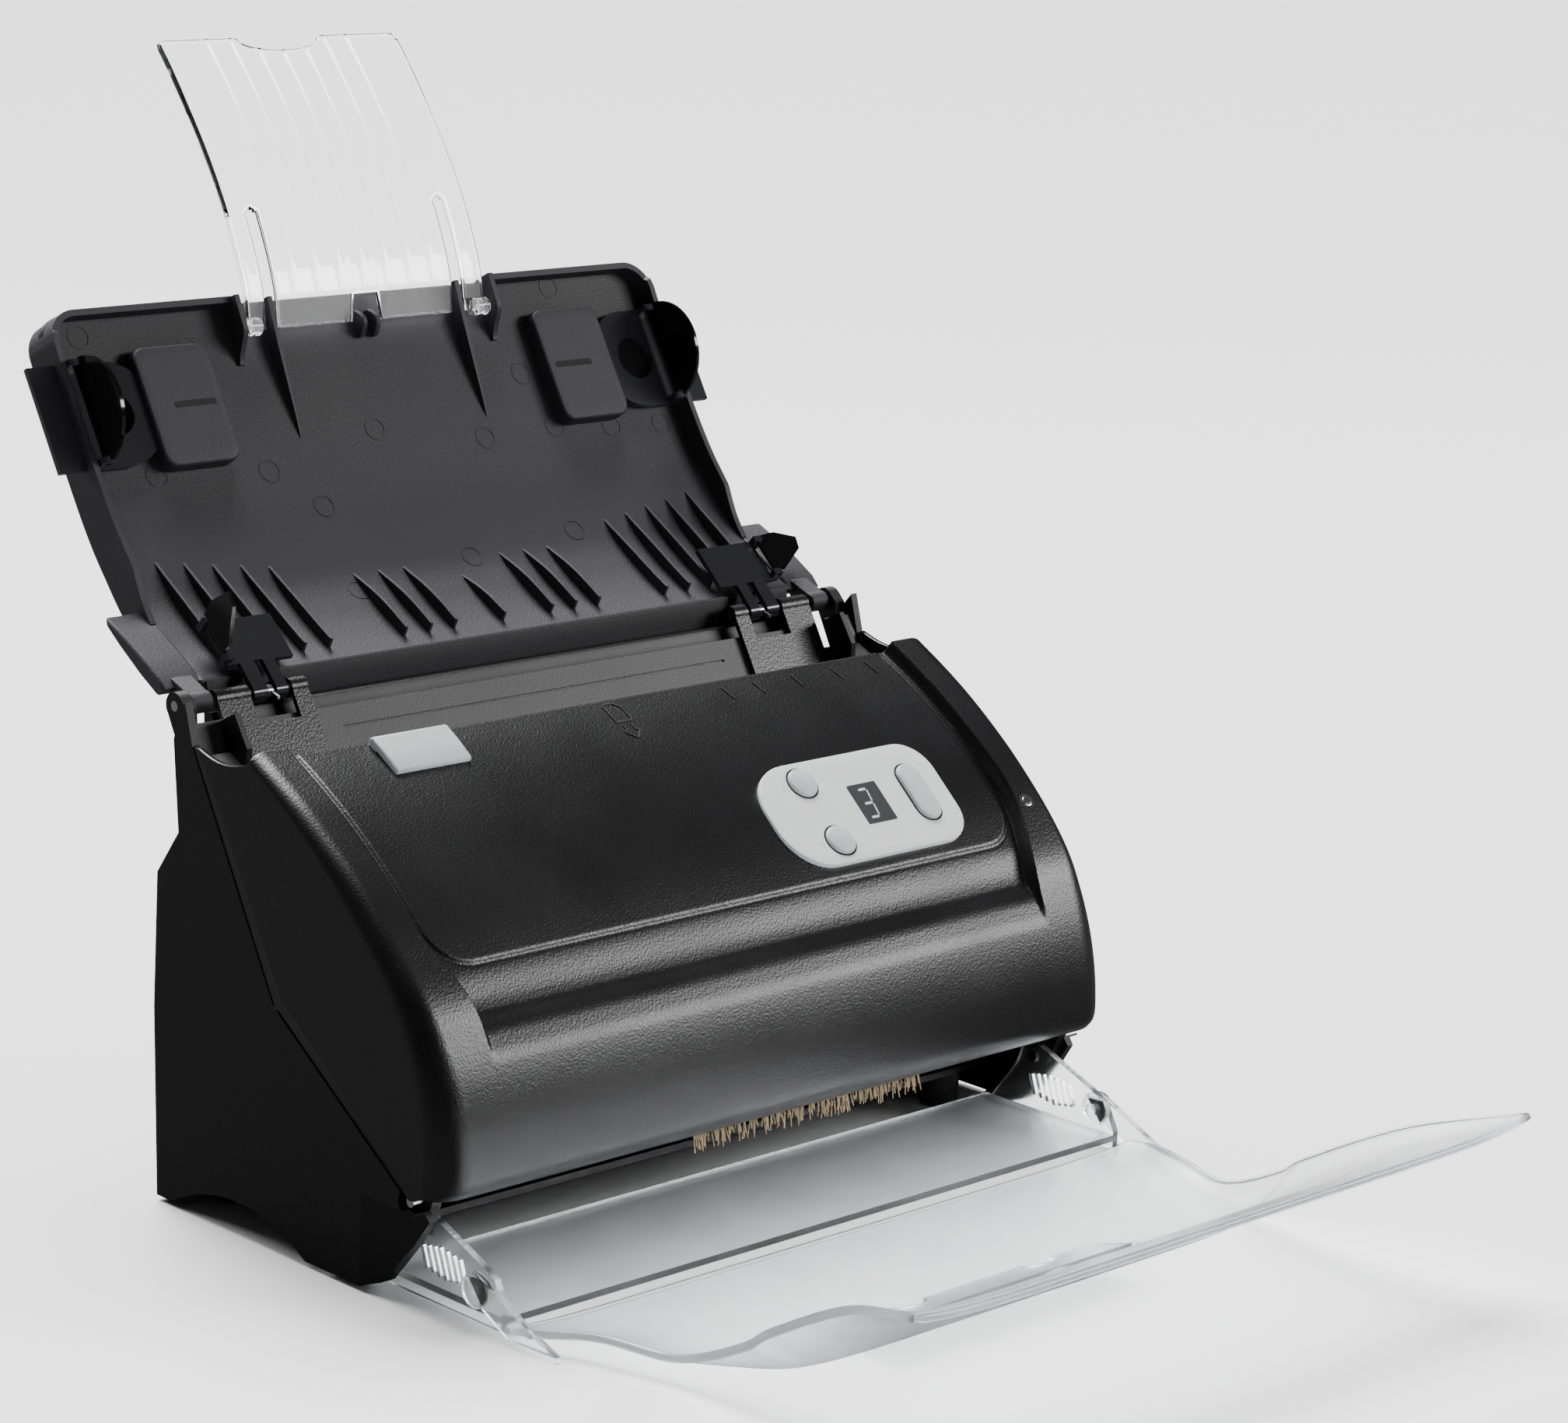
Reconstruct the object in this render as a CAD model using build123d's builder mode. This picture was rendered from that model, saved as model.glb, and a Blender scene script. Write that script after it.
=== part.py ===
"""Sheet fed document scanner: an upright feeder with a folding chute, a clear
extender, adjustable paper guides and folding clear output trays.

Frame: x to the right, y to the rear, z up. The origin is on the surface that the
scanner stands on, on its middle plane, between its front and rear feet.
"""
import os
from math import atan2, cos, degrees, hypot, pi, radians, sin

from build123d import *

os.makedirs("parts", exist_ok=True)

# ---------------------------------------------------------------- driving sizes
BODY_WIDTH = 263.0
HALF = BODY_WIDTH / 2
WALL = 2.5
INNER_HALF = HALF - WALL
REAR_Y = 63.5
FOOT_HEIGHT = 1.5

RUN_GAP = 0.05          # radial clearance of a shaft in its bore
SLIDE_GAP = 0.35        # clearance between sliding or swinging faces

# chute hinge, shared by the chute and the guide leaves
HINGE_Y = 59.0
HINGE_Z = 146.5
BARREL_R = 3.2
HINGE_PIN_R = 1.5

# chute outline in side view, from the hinge to the free edge
CHUTE_FACE = [(65.0, 151.0), (83.5, 160.5), (94.0, 167.5), (103.5, 178.5), (111.5, 188.5),
              (122.0, 204.5), (134.5, 225.5), (144.5, 244.5)]
CHUTE_RIM = [(83.0, 162.8), (92.3, 168.6), (100.5, 179.3), (107.0, 188.5), (116.0, 203.0),
             (127.0, 225.0), (137.7, 247.6)]
CHUTE_HALF = 117.0
CHUTE_WALL = 2.2
WING_OUT = 128.5

# extender hinge, near the free edge of the chute
EXT_Y = 136.4
EXT_Z = 237.2
EXT_HALF = 46.0
EXT_PIN_R = 1.4
EXT_WALL = 1.8
EXT_LINE = [(136.4, 235.6), (138.0, 247.0), (142.3, 259.0), (148.9, 272.5), (157.6, 286.5),
            (167.6, 300.0), (176.4, 311.0), (183.5, 319.0)]
RAIL_X = 36.5
SLOT_WIDTH = 5.0

# upper guides on the chute: a plane that lies on the two raised pads
PAD_TILT = degrees(atan2(20.5, 12.5))
PAD_POINT = (124.4, 218.5)
PAD_HEIGHT = 5.0
PAD_IN = 64.0
PAD_OUT = 90.0
PAD_HALF = 19.0
RING_X = 102.0
RING_R = 16.5
RING_HOLE_R = 7.0
FLAP_X = 110.5
LIP_OUT = 126.5

# lower guides in the mouth, and the leaves and fins that they carry
LEAF_TILT = 42.0
LEAF_IN = 84.0
LEAF_OUT = 107.0
FIN_WALL = 1.2

# paper path in side view: the fixed deck behind it and the cover's plate before it
DECK = [(54.6, 140.2), (12.5, 70.0), (-47.0, 30.3)]
COVER_PATH = [(19.6, 128.0), (20.5, 90.5), (10.8, 72.5), (-48.0, 33.3)]
DECK_HALF = 116.0
DECK_WALL = 2.0

# front cover in side view
CREST_TOP = (21.0, 140.8)
CREST_MID = (-18.0, 116.9)
CREST_BEND = (-50.0, 86.0)
BULGE_MID = (-60.8, 64.0)
BULGE_LOW = (-65.2, 42.0)
COVER_FOOT = (-61.0, 33.0)
PANEL_TOP = (20.5, 136.4)
PANEL_MID = (-20.6, 110.4)
PANEL_LOW = (-54.5, 75.0)
RECESS_HALF = 118.0
SEAM = [(46.6, 138.2), (8.9, 71.9), (-51.5, 31.2)]
COVER_PIVOT = (-50.0, 31.0)
COVER_PIN_R = 1.5

# output trays
TRAY_PIVOT = (-45.0, 21.3)
ARM_IN = 119.8
ARM_OUT = 122.0
OUTER_PIVOT = (-70.3, 10.5)
EAR_IN = 122.5
EAR_OUT = 124.7
TRAY_LINE = [(-84.0, 0.6), (-146.0, 0.6), (-160.0, 6.5), (-180.0, 20.0), (-205.0, 36.0),
             (-230.0, 48.0)]
TRAY_WALL = 1.8
STOP_Y = -158.0
STOP_Z = 10.2

# rollers
FEED_R = 9.0
FEED_AT = (39.6, 99.8)
EXIT_R = 8.0
EXIT_AT = (-21.3, 38.7)
PINCH_R = 6.0
PINCH_AT = (-29.3, 50.6)
SHAFT_R = 3.0
MODULE = 0.8
MOTOR_TEETH = 12
FEED_TEETH = 36
GEAR_X = 119.0
GEAR_WIDTH = 5.0


# ---------------------------------------------------------------- helpers
def save(piece, name):
    """Label a finished piece and write it."""
    piece.part.label = name
    export_step(piece.part, f"parts/{name}.step")


def parallel(points, distance):
    """Mitred parallel copy of an open outline, on its left for a positive distance."""
    copy = []
    last = len(points) - 1
    for index, (y, z) in enumerate(points):
        before = points[max(index - 1, 0)]
        after = points[min(index + 1, last)]
        first = unit(before, (y, z)) if index > 0 else unit((y, z), after)
        second = unit((y, z), after) if index < last else first
        normal = (-(first[1] + second[1]), first[0] + second[0])
        scale = 2 * distance / (normal[0] ** 2 + normal[1] ** 2)
        copy.append((y + normal[0] * scale, z + normal[1] * scale))
    return copy


def unit(start, end):
    """Direction from one point to another, as a vector of length one."""
    length = hypot(end[0] - start[0], end[1] - start[1])
    return ((end[0] - start[0]) / length, (end[1] - start[1]) / length)


def band(points, distance):
    """Closed outline of a wall of even thickness along an open outline."""
    return points + parallel(points, distance)[::-1]


def turned(point, angle, centre=(0.0, 0.0)):
    """A side-view point turned about a centre, positive from rear towards up."""
    y = point[0] * cos(radians(angle)) - point[1] * sin(radians(angle))
    z = point[0] * sin(radians(angle)) + point[1] * cos(radians(angle))
    return (centre[0] + y, centre[1] + z)


def side_plane(x):
    """Plane of a side view: its own x runs to the rear and its own y runs up."""
    return Plane.YZ.offset(x)


def slanted_plane(point, tilt, x=0.0):
    """Plane that faces forward and up: its x runs right and its y runs up the slope."""
    facing = (0, -sin(radians(tilt)), cos(radians(tilt)))
    return Plane(origin=(x, point[0], point[1]), x_dir=(1, 0, 0), z_dir=facing)


def slab(outline, x_start, width, mode=Mode.ADD):
    """Extrude a closed side-view outline over a stretch of the width."""
    with BuildSketch(side_plane(x_start)) as profile:
        with BuildLine():
            Polyline(*outline, close=True)
        make_face()
    extrude(profile.sketch, amount=width, mode=mode)


def rod(point, radius, x_start, width, mode=Mode.ADD):
    """Cylinder along the width, at a side-view point."""
    with BuildSketch(side_plane(x_start)) as profile:
        with Locations(point):
            Circle(radius)
    extrude(profile.sketch, amount=width, mode=mode)


def mirrored_start(sign, inner, outer):
    """Start of the stretch between two distances from the middle, on one side."""
    return inner if sign > 0 else -outer


# ---------------------------------------------------------------- base
SIDE_OUTLINE = [(REAR_Y, FOOT_HEIGHT), (REAR_Y + 1.5, 58.0), (REAR_Y, 98.0), (53.5, 111.5),
                (55.8, 138.0), (53.5, 146.0), (50.5, 149.5), (47.1, 137.6), (9.3, 71.3),
                (-51.2, 30.6), (-55.0, 25.9), (-50.0, 18.5), (-38.0, 4.5), (-30.0, FOOT_HEIGHT),
                (-6.0, FOOT_HEIGHT)]
ARCH_TOP = (26.0, 10.0)
ARCH_END = (56.0, FOOT_HEIGHT)
REAR_OUTLINE = [(55.2, 132.0), (53.5, 111.5), (REAR_Y, 98.0), (REAR_Y + 1.5, 58.0),
                (REAR_Y, FOOT_HEIGHT)]
TOE_OUTLINE = [(-20.0, FOOT_HEIGHT), (-46.5, 28.6), (-51.2, 30.6), (-55.0, 25.9), (-50.0, 18.5),
               (-38.0, 4.5), (-30.0, FOOT_HEIGHT)]
TOE_FACET = [(HALF, -70.0), (HALF, -30.0), (125.4, -70.0)]
PIVOT_LUG = [(-53.5, 29.5), (-46.5, 29.5), (-44.0, 20.0), (-50.0, 20.0)]
LUG_IN = 122.4
LUG_OUT = 126.0
TOE_IN = 125.4
EAR_OUTLINE = [(52.8, 133.0), (55.5, 132.0), (62.6, 145.0), (56.0, 149.2), (53.4, 146.6)]

with BuildPart() as base_housing:
    for x_start in (-HALF, INNER_HALF):
        with BuildSketch(side_plane(x_start)):
            with BuildLine():
                Polyline(ARCH_END, *SIDE_OUTLINE)
                ThreePointArc(SIDE_OUTLINE[-1], ARCH_TOP, ARCH_END)
            make_face()
        extrude(amount=WALL)
    slab(band(REAR_OUTLINE, -WALL), -INNER_HALF, 2 * INNER_HALF)
    for sign in (-1, 1):
        slab(TOE_OUTLINE, mirrored_start(sign, TOE_IN, HALF), HALF - TOE_IN)
        with BuildSketch():
            with BuildLine():
                Polyline(*[(sign * x, y) for x, y in TOE_FACET], close=True)
            make_face()
        extrude(amount=28.0, mode=Mode.SUBTRACT)
        # round seat beside the cover's pivot, and the lug that holds its pin
        rod(COVER_PIVOT, 3.7, mirrored_start(sign, LUG_OUT, HALF), HALF - LUG_OUT,
            mode=Mode.SUBTRACT)
        slab(PIVOT_LUG, mirrored_start(sign, LUG_IN, LUG_OUT), LUG_OUT - LUG_IN)
        rod(COVER_PIVOT, 3.9, mirrored_start(sign, LUG_IN, LUG_OUT), LUG_OUT - LUG_IN)
        rod(COVER_PIVOT, COVER_PIN_R, mirrored_start(sign, LUG_IN, LUG_OUT), LUG_OUT - LUG_IN,
            mode=Mode.SUBTRACT)
        slab(EAR_OUTLINE, mirrored_start(sign, 125.2, INNER_HALF), INNER_HALF - 125.2)
        rod((HINGE_Y, HINGE_Z), 4.0, mirrored_start(sign, 125.2, INNER_HALF), INNER_HALF - 125.2)
        rod((HINGE_Y, HINGE_Z), HINGE_PIN_R, mirrored_start(sign, 125.2, INNER_HALF),
            INNER_HALF - 125.2, mode=Mode.SUBTRACT)
        rod(TRAY_PIVOT, 2.0, mirrored_start(sign, ARM_IN, TOE_IN), TOE_IN - ARM_IN)
    # openings in the rear wall for the power jack, the data socket and the switch
    for x_centre, width in ((-84.0, 10.4), (-62.0, 12.6), (-36.0, 19.6)):
        with BuildSketch(Plane.XZ.offset(-REAR_Y - 3)):
            with Locations((x_centre, 30.0)):
                Rectangle(width, 11.4)
        extrude(amount=8.0, mode=Mode.SUBTRACT)
save(base_housing, "base_housing")

with BuildPart() as bottom_plate:
    with BuildSketch(Plane.XY.offset(10.6)):
        with Locations((0, 20.0)):
            Rectangle(2 * INNER_HALF - 0.6, 80.0)
        with Locations((0, 20.0)):
            with GridLocations(12.0, 60.0, 9, 1):
                SlotOverall(30.0, 3.0, rotation=90, mode=Mode.SUBTRACT)
    extrude(amount=2.0)
save(bottom_plate, "bottom_plate")

with BuildPart() as rubber_feet:
    for x_centre in (-112.0, 112.0):
        for y_centre in (-14.0, 52.0):
            with BuildSketch():
                with Locations((x_centre, y_centre)):
                    Circle(6.0)
            extrude(amount=10.6)
save(rubber_feet, "rubber_feet")

# the feed deck, and the place of the rack and pinion behind it
RACK_ALONG = -24.5
RACK_TEETH = 12
RACK_PITCH_R = MODULE * RACK_TEETH / 2
RACK_GAP = 0.3
GUIDE_TRAVEL = 40.0
FOOT_X = 98.0
UPPER_TILT = degrees(atan2(70.2, 42.1))
DECK_PLANE = slanted_plane(DECK[0], UPPER_TILT)


def on_deck(along, lift):
    """Side-view point at a distance up the deck's slope and a height above it."""
    point = DECK_PLANE.from_local_coords((0.0, along, lift))
    return (point.Y, point.Z)


with BuildPart() as feed_deck:
    slab(band(DECK, DECK_WALL), -DECK_HALF, 2 * DECK_HALF)
    # groove across the upper slope
    groove = slanted_plane((51.2, 134.6), 59.0)
    with BuildSketch(groove):
        Rectangle(150.0, 0.8)
    extrude(amount=0.6, both=True, mode=Mode.SUBTRACT)
    # windows for the feed tyres, the scan glass and the exit tyres
    for x_centre in (-24.0, 24.0):
        slab([(20.0, 88.0), (60.0, 88.0), (60.0, 111.0), (20.0, 111.0)], x_centre - 11.0, 22.0,
             mode=Mode.SUBTRACT)
    for x_centre in (-80.0, -30.0, 30.0, 80.0):
        slab([(-32.5, 25.0), (-9.0, 25.0), (-9.0, 60.0), (-32.5, 60.0)], x_centre - 9.5, 19.0,
             mode=Mode.SUBTRACT)
    slab([(-4.6, 50.0), (8.4, 50.0), (8.4, 75.0), (-4.6, 75.0)], -109.0, 218.0,
         mode=Mode.SUBTRACT)
    # slots for the feet of the lower guides, and the stud of the pinion
    for sign in (-1, 1):
        slot = [on_deck(RACK_ALONG - 3.0, -3.0), on_deck(RACK_ALONG + 3.0, -3.0),
                on_deck(RACK_ALONG + 3.0, 1.0), on_deck(RACK_ALONG - 3.0, 1.0)]
        slab(slot, mirrored_start(sign, FOOT_X - GUIDE_TRAVEL - 1.0, FOOT_X + 9.0),
             GUIDE_TRAVEL + 10.0, mode=Mode.SUBTRACT)
    with BuildSketch(DECK_PLANE.offset(-DECK_WALL)):
        with Locations((0.0, RACK_ALONG)):
            Circle(1.5)
    extrude(amount=-3.8)
save(feed_deck, "feed_deck")

TRIM_LINE = [(50.5, 143.0), (46.0, 134.5), (38.0, 131.0), (30.0, 131.2), (24.5, 134.2)]
TRIM_WALL = [(46.0, 134.0), (50.5, 142.5), (44.0, 146.0), (38.0, 137.0), (38.0, 131.5)]
with BuildPart() as mouth_trims:
    for sign in (-1, 1):
        slab(band(TRIM_LINE, 1.8), mirrored_start(sign, 117.6, 128.6), 11.0)
        slab(TRIM_WALL, mirrored_start(sign, 117.6, 119.4), 1.8)
save(mouth_trims, "mouth_trims")

with BuildPart() as chute_hinge_pins:
    for sign in (-1, 1):
        rod((HINGE_Y, HINGE_Z), HINGE_PIN_R, mirrored_start(sign, 117.5, INNER_HALF),
            INNER_HALF - 117.5)
save(chute_hinge_pins, "chute_hinge_pins")

with BuildPart() as cover_pivot_pins:
    for sign in (-1, 1):
        rod(COVER_PIVOT, COVER_PIN_R, mirrored_start(sign, LUG_IN, 130.4), 130.4 - LUG_IN)
save(cover_pivot_pins, "cover_pivot_pins")


# ---------------------------------------------------------------- scan modules
def scan_bar(corner, tilt, depth, mode=Mode.ADD):
    """Long box behind the paper path: its top face is the scan line's face."""
    with BuildSketch(slanted_plane(corner, tilt)) as profile:
        Rectangle(216.0, 12.0)
    extrude(profile.sketch, amount=-depth, mode=mode)


LOWER_TILT = degrees(atan2(39.7, 59.5))
REAR_SCAN_POINT = (2.4, 61.6)
with BuildPart() as rear_scan_bar:
    scan_bar(REAR_SCAN_POINT, LOWER_TILT, 11.0)
    with BuildSketch(slanted_plane(REAR_SCAN_POINT, LOWER_TILT)):
        Rectangle(212.0, 8.0)
    extrude(amount=-2.0, mode=Mode.SUBTRACT)
save(rear_scan_bar, "rear_scan_bar")

with BuildPart() as rear_scan_glass:
    with BuildSketch(slanted_plane(REAR_SCAN_POINT, LOWER_TILT)):
        Rectangle(211.6, 7.6)
    extrude(amount=-2.0)
save(rear_scan_glass, "rear_scan_glass")

FRONT_SCAN_POINT = (1.4, 67.6)
with BuildPart() as front_scan_bar:
    with BuildSketch(slanted_plane(FRONT_SCAN_POINT, LOWER_TILT)):
        Rectangle(216.0, 12.0)
    extrude(amount=11.0)
    with BuildSketch(slanted_plane(FRONT_SCAN_POINT, LOWER_TILT)):
        Rectangle(212.0, 8.0)
    extrude(amount=2.0, mode=Mode.SUBTRACT)
save(front_scan_bar, "front_scan_bar")

with BuildPart() as front_scan_glass:
    with BuildSketch(slanted_plane(FRONT_SCAN_POINT, LOWER_TILT)):
        Rectangle(211.6, 7.6)
    extrude(amount=2.0)
save(front_scan_glass, "front_scan_glass")


# ---------------------------------------------------------------- drive
def gear(teeth, point, x_start, width, turn=0.0):
    """Spur gear with straight-sided teeth; a tooth points along the turn angle."""
    pitch_r = MODULE * teeth / 2
    root_r = pitch_r - 1.25 * MODULE
    tip_r = pitch_r + MODULE
    half_root = 0.55 * MODULE * 1.5708
    half_tip = 0.30 * MODULE
    rod(point, root_r, x_start, width)
    with BuildSketch(side_plane(x_start)) as profile:
        for index in range(teeth):
            angle = turn + 360.0 * index / teeth
            tooth = [(root_r - 0.3, -half_root), (tip_r, -half_tip), (tip_r, half_tip),
                     (root_r - 0.3, half_root)]
            with BuildLine():
                Polyline(*[turned(corner, angle, point) for corner in tooth], close=True)
            make_face()
    extrude(profile.sketch, amount=width)


GEAR_DISTANCE = MODULE * (MOTOR_TEETH + FEED_TEETH) / 2
TO_MOTOR = -85.0
MOTOR_AT = turned((GEAR_DISTANCE, 0.0), TO_MOTOR, FEED_AT)

with BuildPart() as feed_roller:
    rod(FEED_AT, SHAFT_R, -112.0, 240.0)
    gear(FEED_TEETH, FEED_AT, GEAR_X, GEAR_WIDTH, TO_MOTOR)
    rod(FEED_AT, 7.0, 125.0, 2.5)
save(feed_roller, "feed_roller_shaft")

with BuildPart() as feed_tyres:
    for x_centre in (-24.0, 24.0):
        rod(FEED_AT, FEED_R, x_centre - 9.0, 18.0)
        rod(FEED_AT, SHAFT_R, x_centre - 9.0, 18.0, mode=Mode.SUBTRACT)
save(feed_tyres, "feed_roller_tyres")

with BuildPart() as exit_shaft:
    rod(EXIT_AT, SHAFT_R, -112.0, 239.5)
    rod(EXIT_AT, 7.0, 125.0, 2.5)
save(exit_shaft, "exit_roller_shaft")

with BuildPart() as exit_tyres:
    for x_centre in (-80.0, -30.0, 30.0, 80.0):
        rod(EXIT_AT, EXIT_R, x_centre - 7.5, 15.0)
        rod(EXIT_AT, SHAFT_R, x_centre - 7.5, 15.0, mode=Mode.SUBTRACT)
save(exit_tyres, "exit_roller_tyres")

BELT_SPAN = hypot(FEED_AT[0] - EXIT_AT[0], FEED_AT[1] - EXIT_AT[1])
BELT_TILT = degrees(atan2(FEED_AT[1] - EXIT_AT[1], FEED_AT[0] - EXIT_AT[0]))
BELT_CENTRE = ((FEED_AT[0] + EXIT_AT[0]) / 2, (FEED_AT[1] + EXIT_AT[1]) / 2)
with BuildPart() as drive_belt:
    with BuildSketch(side_plane(125.2)):
        with Locations(BELT_CENTRE):
            SlotCenterToCenter(BELT_SPAN, 16.8, rotation=BELT_TILT)
            SlotCenterToCenter(BELT_SPAN, 14.6, rotation=BELT_TILT, mode=Mode.SUBTRACT)
    extrude(amount=2.1)
save(drive_belt, "drive_belt")

with BuildPart() as roller_bearings:
    for point in (FEED_AT, EXIT_AT):
        for x_start in (-116.0, 113.0):
            rod(point, 5.0, x_start, 3.0)
            rod(point, SHAFT_R + RUN_GAP, x_start, 3.0, mode=Mode.SUBTRACT)
save(roller_bearings, "roller_bearings")

with BuildPart() as motor:
    rod(MOTOR_AT, 12.0, 84.0, 30.0)
    rod(MOTOR_AT, 4.0, 114.0, 1.5)
    rod(MOTOR_AT, 1.0 + RUN_GAP, 111.0, 4.5, mode=Mode.SUBTRACT)
save(motor, "motor")

with BuildPart() as motor_pinion:
    gear(MOTOR_TEETH, MOTOR_AT, GEAR_X, GEAR_WIDTH, TO_MOTOR + 180.0 + 180.0 / MOTOR_TEETH)
    rod(MOTOR_AT, 1.0, 111.5, GEAR_X - 111.5)
save(motor_pinion, "motor_pinion")

with BuildPart() as inner_frame:
    # a side plate at each end of the rollers, under the deck
    plate = [(46.0, 116.0), (50.5, 108.0), (55.0, 92.0), (55.0, 16.0), (-22.0, 16.0), (-32.0, 28.0),
             (-32.0, 36.5), (16.5, 69.5)]
    for x_start in (-116.0, 113.0):
        slab(plate, x_start, 3.0)
        for point in (FEED_AT, EXIT_AT):
            rod(point, 5.1, x_start, 3.0, mode=Mode.SUBTRACT)
        rod(MOTOR_AT, 12.3, x_start, 3.0, mode=Mode.SUBTRACT)
    with BuildSketch(Plane.XY.offset(13.6)):
        with Locations((0, 18.0)):
            Rectangle(226.0, 6.0)
    extrude(amount=2.4)
save(inner_frame, "inner_frame")


# ---------------------------------------------------------------- electrics
BOARD_Y = 57.0
with BuildPart() as main_board:
    with BuildSketch(Plane.XZ.offset(-BOARD_Y)):
        with Locations((-50.0, 48.0)):
            Rectangle(110.0, 56.0)
    extrude(amount=1.6)
    for x_centre, z_centre, width, height in ((-40.0, 60.0, 16.0, 16.0), (-70.0, 58.0, 12.0, 8.0),
                                              (-15.0, 56.0, 8.0, 14.0)):
        with BuildSketch(Plane.XZ.offset(-BOARD_Y + 1.6)):
            with Locations((x_centre, z_centre)):
                Rectangle(width, height)
        extrude(amount=2.0)
save(main_board, "main_board")

with BuildPart() as power_jack:
    with BuildSketch(Plane.XZ.offset(-REAR_Y - 0.6)):
        with Locations((-84.0, 30.0)):
            Rectangle(10.0, 11.0)
    extrude(amount=7.0)
    with BuildSketch(Plane.XZ.offset(-REAR_Y - 0.6)):
        with Locations((-84.0, 30.0)):
            Circle(3.2)
            Circle(1.0, mode=Mode.SUBTRACT)
    extrude(amount=5.6, mode=Mode.SUBTRACT)
save(power_jack, "power_jack")

with BuildPart() as data_socket:
    with BuildSketch(Plane.XZ.offset(-REAR_Y - 0.6)):
        with Locations((-62.0, 30.0)):
            Rectangle(12.2, 11.0)
            Rectangle(8.6, 7.8, mode=Mode.SUBTRACT)
    extrude(amount=7.0)
    with BuildSketch(Plane.XZ.offset(-REAR_Y + 5.2)):
        with Locations((-62.0, 30.0)):
            Rectangle(12.2, 11.0)
    extrude(amount=1.2)
    with BuildSketch(Plane.XZ.offset(-REAR_Y)):
        with Locations((-62.0, 30.0)):
            Rectangle(5.6, 3.2)
    extrude(amount=5.4)
save(data_socket, "data_socket")

SWITCH_X = -36.0
SWITCH_AT = (REAR_Y - 3.0, 30.0)
with BuildPart() as switch_frame:
    with BuildSketch(Plane.XZ.offset(-REAR_Y - 0.8)):
        with Locations((SWITCH_X, 30.0)):
            Rectangle(19.2, 11.0)
            Rectangle(15.0, 8.6, mode=Mode.SUBTRACT)
    extrude(amount=7.2)
    rod(SWITCH_AT, 0.9, SWITCH_X - 7.6, 15.2)
save(switch_frame, "switch_frame")

with BuildPart() as power_switch:
    rocker = [(SWITCH_AT[0] - 3.0, 27.2), (SWITCH_AT[0] + 4.6, 26.4), (SWITCH_AT[0] + 3.1, 30.0),
              (SWITCH_AT[0] + 3.1, 33.6), (SWITCH_AT[0] - 3.0, 32.8)]
    slab(rocker, SWITCH_X - 7.0, 14.0)
    rod(SWITCH_AT, 0.9 + RUN_GAP, SWITCH_X - 7.0, 14.0, mode=Mode.SUBTRACT)
save(power_switch, "power_switch")

with BuildPart() as case_screws:
    for x_centre, z_centre in ((-118.0, 20.0), (118.0, 20.0), (-118.0, 88.0), (118.0, 88.0)):
        with BuildSketch(Plane.XZ.offset(-REAR_Y - 1.8)):
            with Locations((x_centre, z_centre)):
                Circle(3.0)
                Rectangle(3.4, 0.8, mode=Mode.SUBTRACT)
                Rectangle(0.8, 3.4, mode=Mode.SUBTRACT)
        extrude(amount=1.2)
save(case_screws, "case_screws")


# ---------------------------------------------------------------- front cover
def circle_through(first, second, third):
    """Centre and radius of the circle through three side-view points."""
    (ax, ay), (bx, by), (cx, cy) = first, second, third
    double = 2 * (ax * (by - cy) + bx * (cy - ay) + cx * (ay - by))
    centre_y = ((ax ** 2 + ay ** 2) * (by - cy) + (bx ** 2 + by ** 2) * (cy - ay)
                + (cx ** 2 + cy ** 2) * (ay - by)) / double
    centre_z = ((ax ** 2 + ay ** 2) * (cx - bx) + (bx ** 2 + by ** 2) * (ax - cx)
                + (cx ** 2 + cy ** 2) * (bx - ax)) / double
    return centre_y, centre_z, hypot(ax - centre_y, ay - centre_z)


def panel_height(y):
    """Height of the sunk panel's arc at a depth, found from its three points."""
    centre_y, centre_z, radius = circle_through(PANEL_TOP, PANEL_MID, PANEL_LOW)
    return centre_z + (radius ** 2 - (y - centre_y) ** 2) ** 0.5


def panel_plane(x, y, lift=0.0):
    """Plane that touches the sunk panel's arc at a place, lifted off it if wanted."""
    centre_y, centre_z, radius = circle_through(PANEL_TOP, PANEL_MID, PANEL_LOW)
    height = panel_height(y)
    facing = ((y - centre_y) / radius, (height - centre_z) / radius)
    origin = (x, y + facing[0] * lift, height + facing[1] * lift)
    return Plane(origin=origin, x_dir=(1, 0, 0), z_dir=(0, facing[0], facing[1]))


PLATE_AT = (59.8, -25.4)
PLATE_SIZE = (73.0, 36.5)
PLATE_ROUND = 12.0
PLATE_LIFT = 0.9
PLATE = panel_plane(*PLATE_AT)
BUTTON_R = 5.0
BUTTON_SPOTS = {"up": (-16.8, 10.8), "down": (-16.0, -10.6)}
SCAN_SPOT = (24.4, 0.0)
WINDOW_SPOT = (4.4, -0.3)
SCREW_PLANE = Plane(origin=(121.4, -36.3, 100.2), x_dir=(1, 0, 0), z_dir=(0, -0.717, 0.697))


def on_plate(spot, lift=0.0):
    """Plane at a place on the control plate."""
    return PLATE.offset(lift).shift_origin(PLATE.offset(lift).from_local_coords((*spot, 0)))


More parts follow.
